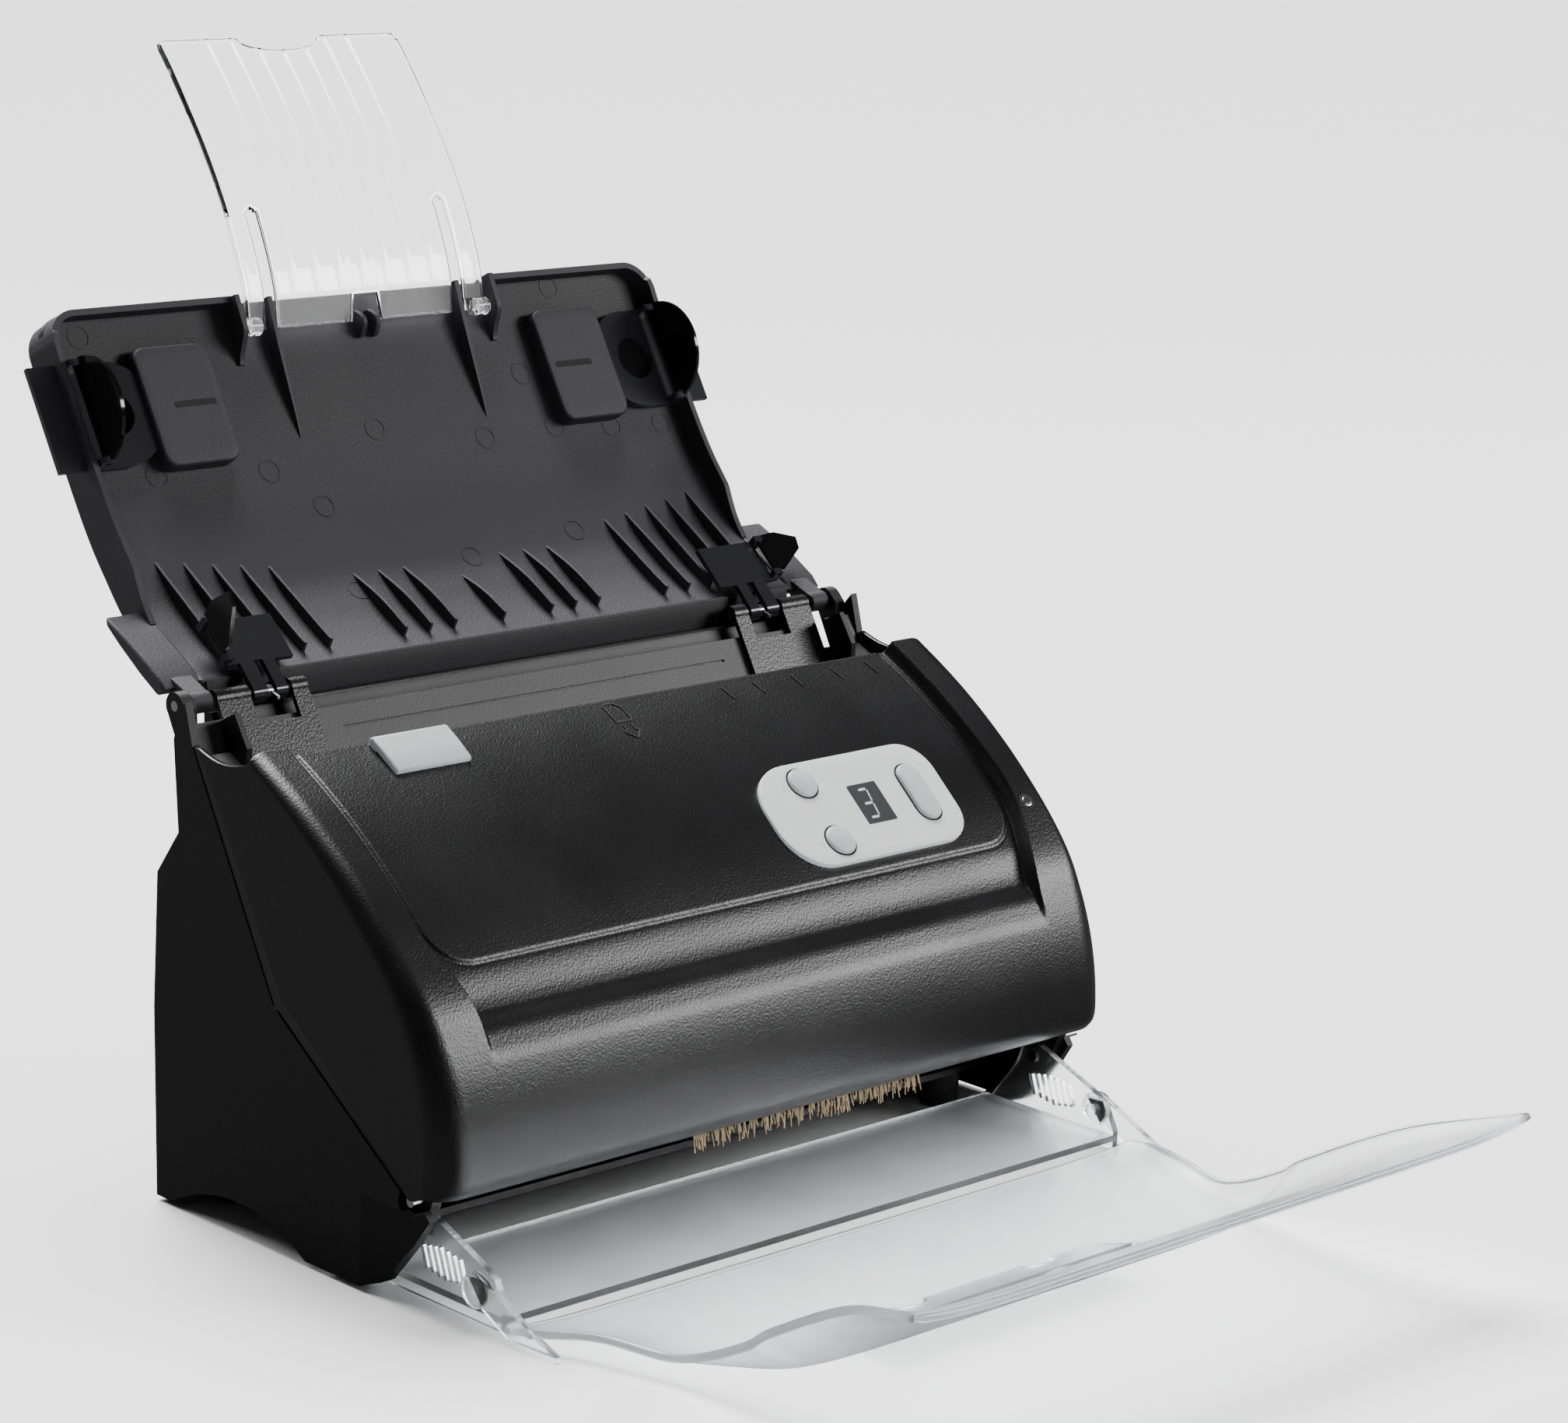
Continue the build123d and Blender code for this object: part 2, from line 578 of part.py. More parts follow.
with BuildPart() as front_cover:
    with BuildSketch(side_plane(-HALF)):
        with BuildLine():
            Spline(CREST_TOP, CREST_MID, CREST_BEND, BULGE_MID, BULGE_LOW)
            Polyline(BULGE_LOW, (-64.6, 36.5), COVER_FOOT, SEAM[2], SEAM[1], SEAM[0], (44.0, 135.8),
                     (37.0, 134.0), (29.0, 134.8), CREST_TOP)
        make_face()
    extrude(amount=BODY_WIDTH)
    rounded = front_cover.faces().filter_by(Axis.X).edges().filter_by(GeomType.BSPLINE)
    fillet(rounded, 4.0)
    # hollow inside, open towards the seam and below
    with BuildSketch(side_plane(-INNER_HALF)):
        with BuildLine():
            Polyline((18.7, 134.2), (60.0, 134.2), (60.0, 20.0), (-59.5, 20.0), (-59.5, 34.0),
                     (-62.6, 41.0))
            ThreePointArc((-62.6, 41.0), (-58.8, 60.5), (-52.6, 72.6))
            ThreePointArc((-52.6, 72.6), (-21.9, 108.0), (18.7, 134.2))
        make_face()
    extrude(amount=2 * INNER_HALF, mode=Mode.SUBTRACT)
    # sunk panel between the two ridges
    with BuildSketch(side_plane(-RECESS_HALF)):
        with BuildLine():
            ThreePointArc(PANEL_TOP, PANEL_MID, PANEL_LOW)
            Polyline(PANEL_LOW, (-62.0, 75.0), (-62.0, 150.0), (20.5, 150.0), PANEL_TOP)
        make_face()
    extrude(amount=2 * RECESS_HALF, mode=Mode.SUBTRACT)
    # mouth between the ridges' rear ends
    slab([(22.8, 130.0), (22.8, 150.0), (60.0, 150.0), (60.0, 130.0)], -INNER_HALF,
         2 * INNER_HALF, mode=Mode.SUBTRACT)
    slab([(20.5, 130.0), (20.5, 150.0), (60.0, 150.0), (60.0, 130.0)], -RECESS_HALF + 1.0,
         2 * RECESS_HALF - 2.0, mode=Mode.SUBTRACT)
    # pocket for the control plate, and the bores for what it carries
    with BuildSketch(PLATE.offset(-0.9)):
        RectangleRounded(PLATE_SIZE[0] + 0.2, PLATE_SIZE[1] + 0.2, PLATE_ROUND + 0.1)
    extrude(amount=6.0, mode=Mode.SUBTRACT)
    for spot in BUTTON_SPOTS.values():
        with BuildSketch(on_plate(spot, -8.0)):
            Circle(BUTTON_R + 0.3)
        extrude(amount=12.0, mode=Mode.SUBTRACT)
    with BuildSketch(on_plate(SCAN_SPOT, -8.0)):
        SlotOverall(20.6, 8.6, rotation=90)
    extrude(amount=12.0, mode=Mode.SUBTRACT)
    with BuildSketch(on_plate(WINDOW_SPOT, -8.0)):
        Rectangle(12.4, 14.4)
    extrude(amount=12.0, mode=Mode.SUBTRACT)
    # slot for the release key in the top edge
    slab([(24.0, 124.0), (24.0, 141.0), (9.0, 141.0), (9.0, 124.0)], -89.6, 28.2,
         mode=Mode.SUBTRACT)
    # bosses that turn on the base's front corners
    for sign in (-1, 1):
        rod(COVER_PIVOT, 3.2, mirrored_start(sign, LUG_OUT + 0.4, HALF), HALF - LUG_OUT - 0.4)
        rod(COVER_PIVOT, COVER_PIN_R + RUN_GAP, mirrored_start(sign, LUG_OUT, 130.5),
            130.5 - LUG_OUT, mode=Mode.SUBTRACT)
    with BuildSketch(SCREW_PLANE.offset(-3.0)):
        Circle(2.4)
    extrude(amount=6.0, mode=Mode.SUBTRACT)
save(front_cover, "front_cover")

with BuildPart() as control_plate:
    with BuildSketch(PLATE.offset(-0.8)):
        RectangleRounded(*PLATE_SIZE, PLATE_ROUND)
    extrude(amount=0.8 + PLATE_LIFT)
    for spot in BUTTON_SPOTS.values():
        with BuildSketch(on_plate(spot, -2.0)):
            Circle(BUTTON_R + 0.3)
        extrude(amount=6.0, mode=Mode.SUBTRACT)
    with BuildSketch(on_plate(SCAN_SPOT, -2.0)):
        SlotOverall(20.6, 8.6, rotation=90)
    extrude(amount=6.0, mode=Mode.SUBTRACT)
    with BuildSketch(on_plate(WINDOW_SPOT, -2.0)):
        Rectangle(12.0, 14.0)
    extrude(amount=6.0, mode=Mode.SUBTRACT)
save(control_plate, "control_plate")

with BuildPart() as display_window:
    with BuildSketch(on_plate(WINDOW_SPOT, -0.6)):
        Rectangle(11.8, 13.8)
    extrude(amount=0.9)
save(display_window, "display_window")

BOARD_DEPTH = -8.0
with BuildPart() as button_board:
    with BuildSketch(PLATE.offset(BOARD_DEPTH)):
        Rectangle(64.0, 30.0)
    extrude(amount=1.6)
    with BuildSketch(on_plate(WINDOW_SPOT, BOARD_DEPTH + 1.6)):
        Rectangle(11.6, 13.6)
    extrude(amount=5.6)
    for spot in (*BUTTON_SPOTS.values(), SCAN_SPOT):
        with BuildSketch(on_plate(spot, BOARD_DEPTH + 1.6)):
            Rectangle(6.0, 6.0)
        extrude(amount=1.6)
save(button_board, "button_board")

for key, spot in BUTTON_SPOTS.items():
    with BuildPart() as round_button:
        with BuildSketch(on_plate(spot, -3.8)):
            Circle(BUTTON_R)
        extrude(amount=3.8 + 2.0)
        crown = round_button.edges().filter_by(GeomType.CIRCLE).sort_by(Axis.Z)[-1]
        fillet(crown, 0.7)
    save(round_button, f"{key}_button")

with BuildPart() as scan_button:
    with BuildSketch(on_plate(SCAN_SPOT, -3.8)):
        SlotOverall(20.0, 8.0, rotation=90)
    extrude(amount=3.8 + 2.0)
save(scan_button, "scan_button")

KEY_LEFT = -89.0
KEY_WIDTH = 27.0
KEY_NOTCH_Y = 19.0
KEY_NOTCH_Z = 125.5
KEY_OUTLINE = [(20.0, 126.0), (22.2, 126.0), (22.2, 138.6), (20.4, 139.4), (10.0, 132.4),
               (10.6, 130.9), (18.4, 135.2), (20.0, 134.6)]
with BuildPart() as release_key:
    slab(KEY_OUTLINE, KEY_LEFT, KEY_WIDTH)
save(release_key, "release_key")

with BuildPart() as cover_path_plate:
    slab(band(COVER_PATH, -2.0), -DECK_HALF, 2 * DECK_HALF)
    slab([(22.0, 126.0), (17.5, 126.0), (17.5, 133.4), (19.0, 133.4), (22.0, 128.0)], -60.0, 176.0)
    for x_centre in (-80.0, -30.0, 30.0, 80.0):
        rod(PINCH_AT, PINCH_R + 0.8, x_centre - 8.0, 16.0, mode=Mode.SUBTRACT)
    with BuildSketch(slanted_plane(FRONT_SCAN_POINT, LOWER_TILT)):
        Rectangle(217.0, 12.8)
    extrude(amount=5.0, both=True, mode=Mode.SUBTRACT)
    with Locations((KEY_LEFT + KEY_WIDTH / 2, KEY_NOTCH_Y, KEY_NOTCH_Z)):
        Box(KEY_WIDTH + 3.0, 12.0, 11.0, mode=Mode.SUBTRACT)
save(cover_path_plate, "cover_path_plate")

with BuildPart() as cover_frame:
    # end plates that join the path plate, the scan bar and the pinch shaft to the shell
    plate = [(17.0, 127.0), (-18.0, 106.0), (-50.0, 73.0), (-60.0, 52.0), (-60.0, 42.0),
             (-50.0, 38.2), (6.0, 76.0), (18.0, 91.0)]
    for x_start in (-119.0, 116.4):
        slab(plate, x_start, 2.6)
        rod(PINCH_AT, 1.5 + RUN_GAP, x_start, 2.6, mode=Mode.SUBTRACT)
save(cover_frame, "cover_frame")

with BuildPart() as pinch_shaft:
    rod(PINCH_AT, 1.5, -118.8, 237.6)
    for x_centre in (-80.0, -30.0, 30.0, 80.0):
        rod(PINCH_AT, PINCH_R, x_centre - 6.5, 13.0)
save(pinch_shaft, "pinch_rollers")

PAD_SPOT = (31.7, 104.5)
with BuildPart() as separation_pad:
    with BuildSketch(slanted_plane(PAD_SPOT, UPPER_TILT)):
        Rectangle(30.0, 16.0)
    extrude(amount=1.6)
save(separation_pad, "separation_pad")

with BuildPart() as pad_holder:
    slab([(20.5, 92.0), (26.2, 98.5), (34.4, 112.2), (19.9, 119.0)], -15.0, 30.0)
save(pad_holder, "pad_holder")

with BuildPart() as antistatic_brush:
    slab([(-59.4, 34.4), (-54.0, 35.4), (-54.0, 40.0), (-61.9, 40.0)], -34.0, 92.0)
    for index in range(46):
        slab([(-56.4, 27.6), (-55.6, 27.6), (-55.2, 35.6), (-56.4, 35.0)],
             -33.0 + 2.0 * index, 0.7)
save(antistatic_brush, "antistatic_brush")

with BuildPart() as ridge_screw:
    with BuildSketch(SCREW_PLANE.offset(-3.0)):
        Circle(2.4)
    extrude(amount=2.7)
    with BuildSketch(SCREW_PLANE.offset(-1.3)):
        Rectangle(2.8, 0.7)
        Rectangle(0.7, 2.8)
    extrude(amount=1.0, mode=Mode.SUBTRACT)
save(ridge_screw, "ridge_screw")


# ---------------------------------------------------------------- chute
PAD_PLANE = slanted_plane(PAD_POINT, PAD_TILT)
NOTCH_HALF = 48.6


def face_depth(z):
    """Depth of the chute's face at a height, along its outline."""
    for (y_low, z_low), (y_high, z_high) in zip(CHUTE_FACE, CHUTE_FACE[1:]):
        if z <= z_high:
            return y_low + (y_high - y_low) * (z - z_low) / (z_high - z_low)
    return CHUTE_FACE[-1][0]


RIB_LOW = (66.0, 152.6)


def rib_outline(tip_z, rise):
    """Side view of a standing rib: a straight crest from its tip to the chute's lower edge."""
    tip = (face_depth(tip_z), tip_z)
    foot = [point for point in CHUTE_FACE if point[1] < tip_z]
    middle = ((tip[0] + RIB_LOW[0]) / 2 - rise, (tip[1] + RIB_LOW[1]) / 2 + rise)
    return [RIB_LOW, middle, tip, (tip[0] + 1.0, tip[1] - 1.5)] + [
        (y + 0.6, z - 0.6) for y, z in reversed(foot)]


with BuildPart() as feed_chute:
    # dished wall with a rim along both sides and the free edge
    slab(band(CHUTE_FACE, -CHUTE_WALL), -CHUTE_HALF, 2 * CHUTE_HALF)
    side_rim = CHUTE_RIM + [parallel(CHUTE_FACE, -8.0)[-1]] + parallel(CHUTE_FACE, -8.0)[1:-1][::-1]
    for sign in (-1, 1):
        slab(side_rim, mirrored_start(sign, CHUTE_HALF - 2.0, CHUTE_HALF), 2.0)
    top_rim = [CHUTE_RIM[-1], parallel(CHUTE_FACE, -8.0)[-1]]
    slab(band(top_rim, -2.0), -CHUTE_HALF, 2 * CHUTE_HALF)
    # notch for the extender, between two cheeks that carry its pins
    slab([(130.0, 243.6), (146.0, 243.6), (146.0, 262.0), (130.0, 262.0)], -NOTCH_HALF,
         2 * NOTCH_HALF, mode=Mode.SUBTRACT)
    cheek = [(137.4, 247.4), (129.6, 230.0), (131.6, 226.0), (136.0, 227.0), (144.5, 243.0)]
    for sign in (-1, 1):
        slab(cheek, mirrored_start(sign, NOTCH_HALF, NOTCH_HALF + 1.8), 1.8)
        rod((EXT_Y, EXT_Z), EXT_PIN_R, mirrored_start(sign, EXT_HALF - 1.5, NOTCH_HALF),
            NOTCH_HALF - EXT_HALF + 1.5)
    # tapering rails and the two-fingered catch
    for x_centre in (-RAIL_X, RAIL_X):
        slab([(139.1, 244.4), (134.2, 236.6), (128.0, 224.9), (124.0, 213.5), (122.0, 204.5),
              (124.0, 206.5), (135.5, 225.5), (145.0, 243.5)], x_centre - 0.9, 1.8)
    for x_centre in (-2.6, 2.6):
        slab([(134.6, 237.4), (135.2, 235.0), (131.6, 229.0), (134.4, 226.6), (137.4, 228.4),
              (141.6, 236.0), (141.0, 238.6)], x_centre - 0.8, 1.6)
    # raised pads, each a hollow box that the upper guide's tongue slides into
    for sign in (-1, 1):
        centre = sign * (PAD_IN + PAD_OUT) / 2
        with BuildSketch(PAD_PLANE.offset(-PAD_HEIGHT - 1.0)):
            with Locations((centre, 1.0)):
                Rectangle(PAD_OUT - PAD_IN, 2 * PAD_HALF)
        extrude(amount=PAD_HEIGHT + 1.0)
        with BuildSketch(PAD_PLANE.offset(-3.8)):
            with Locations((centre + sign * 2.0, 0.0)):
                Rectangle(PAD_OUT - PAD_IN, 2 * RING_R + 1.0)
        extrude(amount=2.4, mode=Mode.SUBTRACT)
        with BuildSketch(PAD_PLANE.offset(-2.0)):
            with Locations((sign * 74.0, 0.0)):
                Rectangle(15.0, 2.0)
        extrude(amount=3.0, mode=Mode.SUBTRACT)
        # notch in the side rim that the upper guide passes through
        with BuildSketch(PAD_PLANE.offset(-4.2)):
            with Locations((sign * (CHUTE_HALF - 1.0), 0.0)):
                Rectangle(4.0, 2 * RING_R + 1.4)
        extrude(amount=12.0, mode=Mode.SUBTRACT)
    # standing ribs along the lower edge: five pointed ones at each end, seven rounded ones
    for sign in (-1, 1):
        for index in range(5):
            slab(rib_outline(177.5 - 1.2 * index, 0.4), sign * (104.0 - 9.5 * index) - 0.5, 1.0)
        for index in range(3):
            slab(rib_outline(168.0, 1.2), sign * (38.0 - 9.5 * index) - 0.5, 1.0)
    slab(rib_outline(164.0, 1.2), -0.5, 1.0)
    # wings beside the hinge, and the barrels
    wing = [(64.2, 149.6), (67.5, 153.2), (75.0, 157.4), (83.2, 161.6), (93.3, 165.9), (92.6, 163.4),
            (86.1, 158.7), (76.5, 152.5), (68.0, 147.5)]
    for sign in (-1, 1):
        slab(wing, mirrored_start(sign, CHUTE_HALF - 2.0, WING_OUT), WING_OUT - CHUTE_HALF + 2.0)
        slab([(59.0, 143.4), (66.0, 146.4), (70.0, 152.0), (66.5, 153.0), (59.0, 149.6)],
             mirrored_start(sign, 117.6, 124.6), 7.0)
        rod((HINGE_Y, HINGE_Z), BARREL_R, mirrored_start(sign, 117.6, 124.6), 7.0)
        rod((HINGE_Y, HINGE_Z), HINGE_PIN_R + RUN_GAP, mirrored_start(sign, 117.6, 124.6), 7.0,
            mode=Mode.SUBTRACT)
save(feed_chute, "feed_chute")

with BuildPart() as chute_extender:
    slab(band(EXT_LINE, -EXT_WALL), -EXT_HALF, 2 * EXT_HALF)
    for sign in (-1, 1):
        rod((EXT_Y, EXT_Z), 3.0, mirrored_start(sign, EXT_HALF - 4.0, EXT_HALF + 1.0), 5.0)
        rod((EXT_Y, EXT_Z), EXT_PIN_R + RUN_GAP, mirrored_start(sign, EXT_HALF - 4.0, EXT_HALF + 2.0),
            6.0, mode=Mode.SUBTRACT)
        slab([(120.0, 228.0), (146.0, 228.0), (156.0, 276.0), (140.0, 276.0)],
             sign * RAIL_X - SLOT_WIDTH / 2, SLOT_WIDTH, mode=Mode.SUBTRACT)
    slab([(126.0, 228.0), (146.0, 228.0), (146.0, 242.0), (126.0, 242.0)], -7.0, 14.0,
         mode=Mode.SUBTRACT)
    # thumb recess in the top edge
    with BuildSketch(Plane.XZ.offset(-160.0)):
        with Locations((0.0, 336.0)):
            Circle(22.0)
    extrude(amount=-60.0, mode=Mode.SUBTRACT)
save(chute_extender, "chute_extender")

# ---------------------------------------------------------------- upper guides
FLAP_WALL = 1.2
FLAP_PIN_X = FLAP_X + 1.4
FLAP_PIN_R = 0.8
FLAP_PIN_LIFT = 1.0
FLAP_AXIS = Plane(origin=PAD_PLANE.from_local_coords((0.0, 0.0, FLAP_PIN_LIFT)), x_dir=(1, 0, 0),
                  z_dir=PAD_PLANE.y_dir)
for side, sign in (("left", -1), ("right", 1)):
    with BuildPart() as upper_guide:
        # ring plate with its tongue, and the lip beyond the flap
        with BuildSketch(PAD_PLANE.offset(-3.6)):
            with Locations((sign * RING_X, 0.0)):
                Circle(RING_R)
            with Locations((sign * (RING_X + 6.0), 0.0)):
                Rectangle(12.0, 2 * RING_R)
            with Locations((sign * RING_X, 0.0)):
                Circle(RING_HOLE_R, mode=Mode.SUBTRACT)
        extrude(amount=1.6)
        with BuildSketch(PAD_PLANE.offset(-3.6)):
            with Locations((sign * (FLAP_X + LIP_OUT + 2.6) / 2, 0.0)):
                Rectangle(LIP_OUT - FLAP_X - 2.6, 2 * RING_R)
        extrude(amount=1.6)
        # ears that hold the flap's pin
        for end in (-1, 1):
            with BuildSketch(PAD_PLANE.offset(-2.0)):
                with Locations((sign * FLAP_PIN_X, end * (RING_R - 1.0))):
                    Rectangle(5.0, 2.0)
            extrude(amount=4.2)
        with BuildSketch(FLAP_AXIS.offset(-RING_R)):
            with Locations((sign * FLAP_PIN_X, 0.0)):
                Circle(FLAP_PIN_R + RUN_GAP)
        extrude(amount=2 * RING_R, mode=Mode.SUBTRACT)
    save(upper_guide, f"upper_guide_{side}")

for side, sign in (("left", -1), ("right", 1)):
    with BuildPart() as guide_flap:
        # half-round wing that stands on the guide, with its pin along the slope
        standing = Plane(origin=(sign * FLAP_PIN_X, *PAD_POINT), x_dir=PAD_PLANE.y_dir,
                         z_dir=(1, 0, 0))
        with BuildSketch(standing):
            with Locations((0.0, FLAP_PIN_LIFT)):
                Circle(RING_R)
            with Locations((0.0, FLAP_PIN_LIFT - RING_R)):
                Rectangle(4 * RING_R, 2 * RING_R, mode=Mode.SUBTRACT)
            with Locations((-RING_R, FLAP_PIN_LIFT), (RING_R, FLAP_PIN_LIFT)):
                Rectangle(4.8, 6.0, mode=Mode.SUBTRACT)
        extrude(amount=FLAP_WALL / 2, both=True)
        with BuildSketch(FLAP_AXIS.offset(-RING_R + 0.2)):
            with Locations((sign * FLAP_PIN_X, 0.0)):
                Circle(FLAP_PIN_R)
        extrude(amount=2 * RING_R - 0.4)
    save(guide_flap, f"guide_flap_{side}")

# ---------------------------------------------------------------- lower guides
RACK_BACK = -DECK_WALL - 2.0
LEAF_PLANE = slanted_plane((HINGE_Y, HINGE_Z), LEAF_TILT)
LEAF_PIN_R = 1.0


def on_leaf(along, lift):
    """Side-view point along the leaf from the hinge and above the hinge's axis."""
    point = LEAF_PLANE.from_local_coords((0.0, along, lift))
    return (point.Y, point.Z)


for side, sign in (("left", -1), ("right", 1)):
    with BuildPart() as paper_guide:
        plate = [on_deck(-30.0, SLIDE_GAP), on_deck(7.0, SLIDE_GAP), on_deck(7.0, SLIDE_GAP + 1.6),
                 on_deck(-30.0, SLIDE_GAP + 1.6)]
        slab(plate, mirrored_start(sign, LEAF_IN, 116.0), 116.0 - LEAF_IN)
        slab([on_deck(-2.0, -1.0), on_deck(12.0, -1.0), on_deck(12.0, 4.0), on_deck(-2.0, 4.0)],
             mirrored_start(sign, 89.6, 104.4), 14.8, mode=Mode.SUBTRACT)
        for inner, outer in ((LEAF_IN, 89.6), (104.4, 116.0)):
            rod((HINGE_Y, HINGE_Z), 2.9, mirrored_start(sign, inner, outer), outer - inner)
            rod((HINGE_Y, HINGE_Z), LEAF_PIN_R, mirrored_start(sign, inner, outer), outer - inner,
                mode=Mode.SUBTRACT)
        # foot through the deck, and the rack behind it
        foot = [on_deck(RACK_ALONG - 2.6, -4.0), on_deck(RACK_ALONG + 2.6, -4.0),
                on_deck(RACK_ALONG + 2.6, 1.0), on_deck(RACK_ALONG - 2.6, 1.0)]
        slab(foot, mirrored_start(sign, FOOT_X, FOOT_X + 8.0), 8.0)
        back = DECK_PLANE.offset(RACK_BACK).shift_origin(
            DECK_PLANE.offset(RACK_BACK).from_local_coords((0.0, RACK_ALONG, 0.0)))
        pitch_line = sign * (RACK_PITCH_R + RACK_GAP)
        with BuildSketch(back):
            with Locations((sign * (FOOT_X - 50.0), pitch_line + sign * 1.7)):
                Rectangle(116.0, 1.8)
            for index in range(-3, 20):
                middle = sign * (index + 0.5) * pi * MODULE
                root = pitch_line + sign * 1.0
                crest = pitch_line - sign * 0.8
                with BuildLine():
                    Polyline((middle - 1.0, root), (middle + 1.0, root), (middle + 0.25, crest),
                             (middle - 0.25, crest), close=True)
                make_face()
            with Locations((sign * (FOOT_X + 4.0), pitch_line / 2)):
                Rectangle(8.0, abs(pitch_line) + 4.0)
        extrude(amount=-1.6)
    save(paper_guide, f"paper_guide_{side}")

with BuildPart() as guide_pinion:
    with BuildSketch(DECK_PLANE.offset(RACK_BACK).shift_origin(
            DECK_PLANE.offset(RACK_BACK).from_local_coords((0.0, RACK_ALONG, 0.0)))):
        Circle(RACK_PITCH_R - 0.9)
        for index in range(RACK_TEETH):
            angle = 90.0 + 360.0 * index / RACK_TEETH
            tooth = [(RACK_PITCH_R - 1.2, -0.85), (RACK_PITCH_R + 0.7, -0.2),
                     (RACK_PITCH_R + 0.7, 0.2), (RACK_PITCH_R - 1.2, 0.85)]
            with BuildLine():
                Polyline(*[turned(corner, angle) for corner in tooth], close=True)
            make_face()
        Circle(1.5 + RUN_GAP, mode=Mode.SUBTRACT)
    extrude(amount=-1.6)
save(guide_pinion, "guide_pinion")

for side, sign in (("left", -1), ("right", 1)):
    with BuildPart() as leaf_pin:
        # hinge pin with a spring round it, whose leg rests on the guide
        rod((HINGE_Y, HINGE_Z), LEAF_PIN_R, mirrored_start(sign, LEAF_IN + 0.3, 115.9), 31.6)
        rod((HINGE_Y, HINGE_Z), 1.9, mirrored_start(sign, 95.6, 97.4), 1.8)
        slab([(HINGE_Y, HINGE_Z + 1.2), (HINGE_Y, HINGE_Z + 0.4), (53.6, 145.2), (53.6, 146.0)],
             mirrored_start(sign, 96.1, 96.9), 0.8)
    save(leaf_pin, f"leaf_pin_{side}")

FIN_PIN_X = 108.2
FIN_PIN_LIFT = 4.7
FIN_PIN_R = 0.7
FIN_OUTLINE = [(11.4, 0.0), (21.6, 0.0), (21.6, 2.2), (24.5, 2.2), (25.0, 8.0), (22.0, 16.0),
               (17.5, 14.5), (11.2, 4.5)]
FIN_AXIS = Plane(origin=LEAF_PLANE.from_local_coords((0.0, 0.0, FIN_PIN_LIFT)), x_dir=(1, 0, 0),
                 z_dir=LEAF_PLANE.y_dir)
for side, sign in (("left", -1), ("right", 1)):
    with BuildPart() as guide_leaf:
        slab([on_leaf(8.6, 1.6), on_leaf(24.0, 1.6), on_leaf(24.0, 3.2), on_leaf(8.6, 3.2)],
             mirrored_start(sign, LEAF_IN, LEAF_OUT), LEAF_OUT - LEAF_IN)
        slab([on_leaf(0.0, 1.0), on_leaf(9.0, 1.6), on_leaf(9.0, 3.2), on_leaf(0.0, 2.8)],
             mirrored_start(sign, 91.0, 103.0), 12.0)
        rod((HINGE_Y, HINGE_Z), 2.8, mirrored_start(sign, 91.0, 103.0), 12.0)
        rod((HINGE_Y, HINGE_Z), LEAF_PIN_R + RUN_GAP, mirrored_start(sign, 91.0, 103.0), 12.0,
            mode=Mode.SUBTRACT)
        slab([on_leaf(-4.0, -4.0), on_leaf(9.0, -4.0), on_leaf(9.0, 4.0), on_leaf(-4.0, 4.0)],
             mirrored_start(sign, 95.0, 98.0), 3.0, mode=Mode.SUBTRACT)
        # lugs that hold the side fin's pin
        for along in (8.8, 22.0):
            with BuildSketch(FIN_AXIS.offset(along)):
                with Locations((sign * (FIN_PIN_X - 0.4), 0.9)):
                    Rectangle(3.2, 4.4)
                with Locations((sign * FIN_PIN_X, 0.0)):
                    Circle(FIN_PIN_R + RUN_GAP, mode=Mode.SUBTRACT)
            extrude(amount=2.0)
    save(guide_leaf, f"guide_leaf_{side}")

for side, sign, facing in (("left", -1, (1, 0, 0)), ("right", 1, LEAF_PLANE.z_dir)):
    with BuildPart() as side_fin:
        # the left fin stands up and the right one lies open to the side
        if sign < 0:
            fin_plane = Plane(origin=LEAF_PLANE.from_local_coords((-FIN_PIN_X, 0.0, FIN_PIN_LIFT)),
                              x_dir=LEAF_PLANE.y_dir, z_dir=(1, 0, 0))
            shape = FIN_OUTLINE
        else:
            fin_plane = Plane(origin=LEAF_PLANE.from_local_coords((FIN_PIN_X, 0.0, FIN_PIN_LIFT)),
                              x_dir=(1, 0, 0), z_dir=LEAF_PLANE.z_dir)
            shape = [(rise, along) for along, rise in FIN_OUTLINE]
        with BuildSketch(fin_plane):
            with BuildLine():
                Polyline(*shape, close=True)
            make_face()
        extrude(amount=FIN_WALL / 2, both=True)
        with BuildSketch(FIN_AXIS.offset(8.8)):
            with Locations((sign * FIN_PIN_X, 0.0)):
                Circle(FIN_PIN_R)
        extrude(amount=15.2)
    save(side_fin, f"side_fin_{side}")

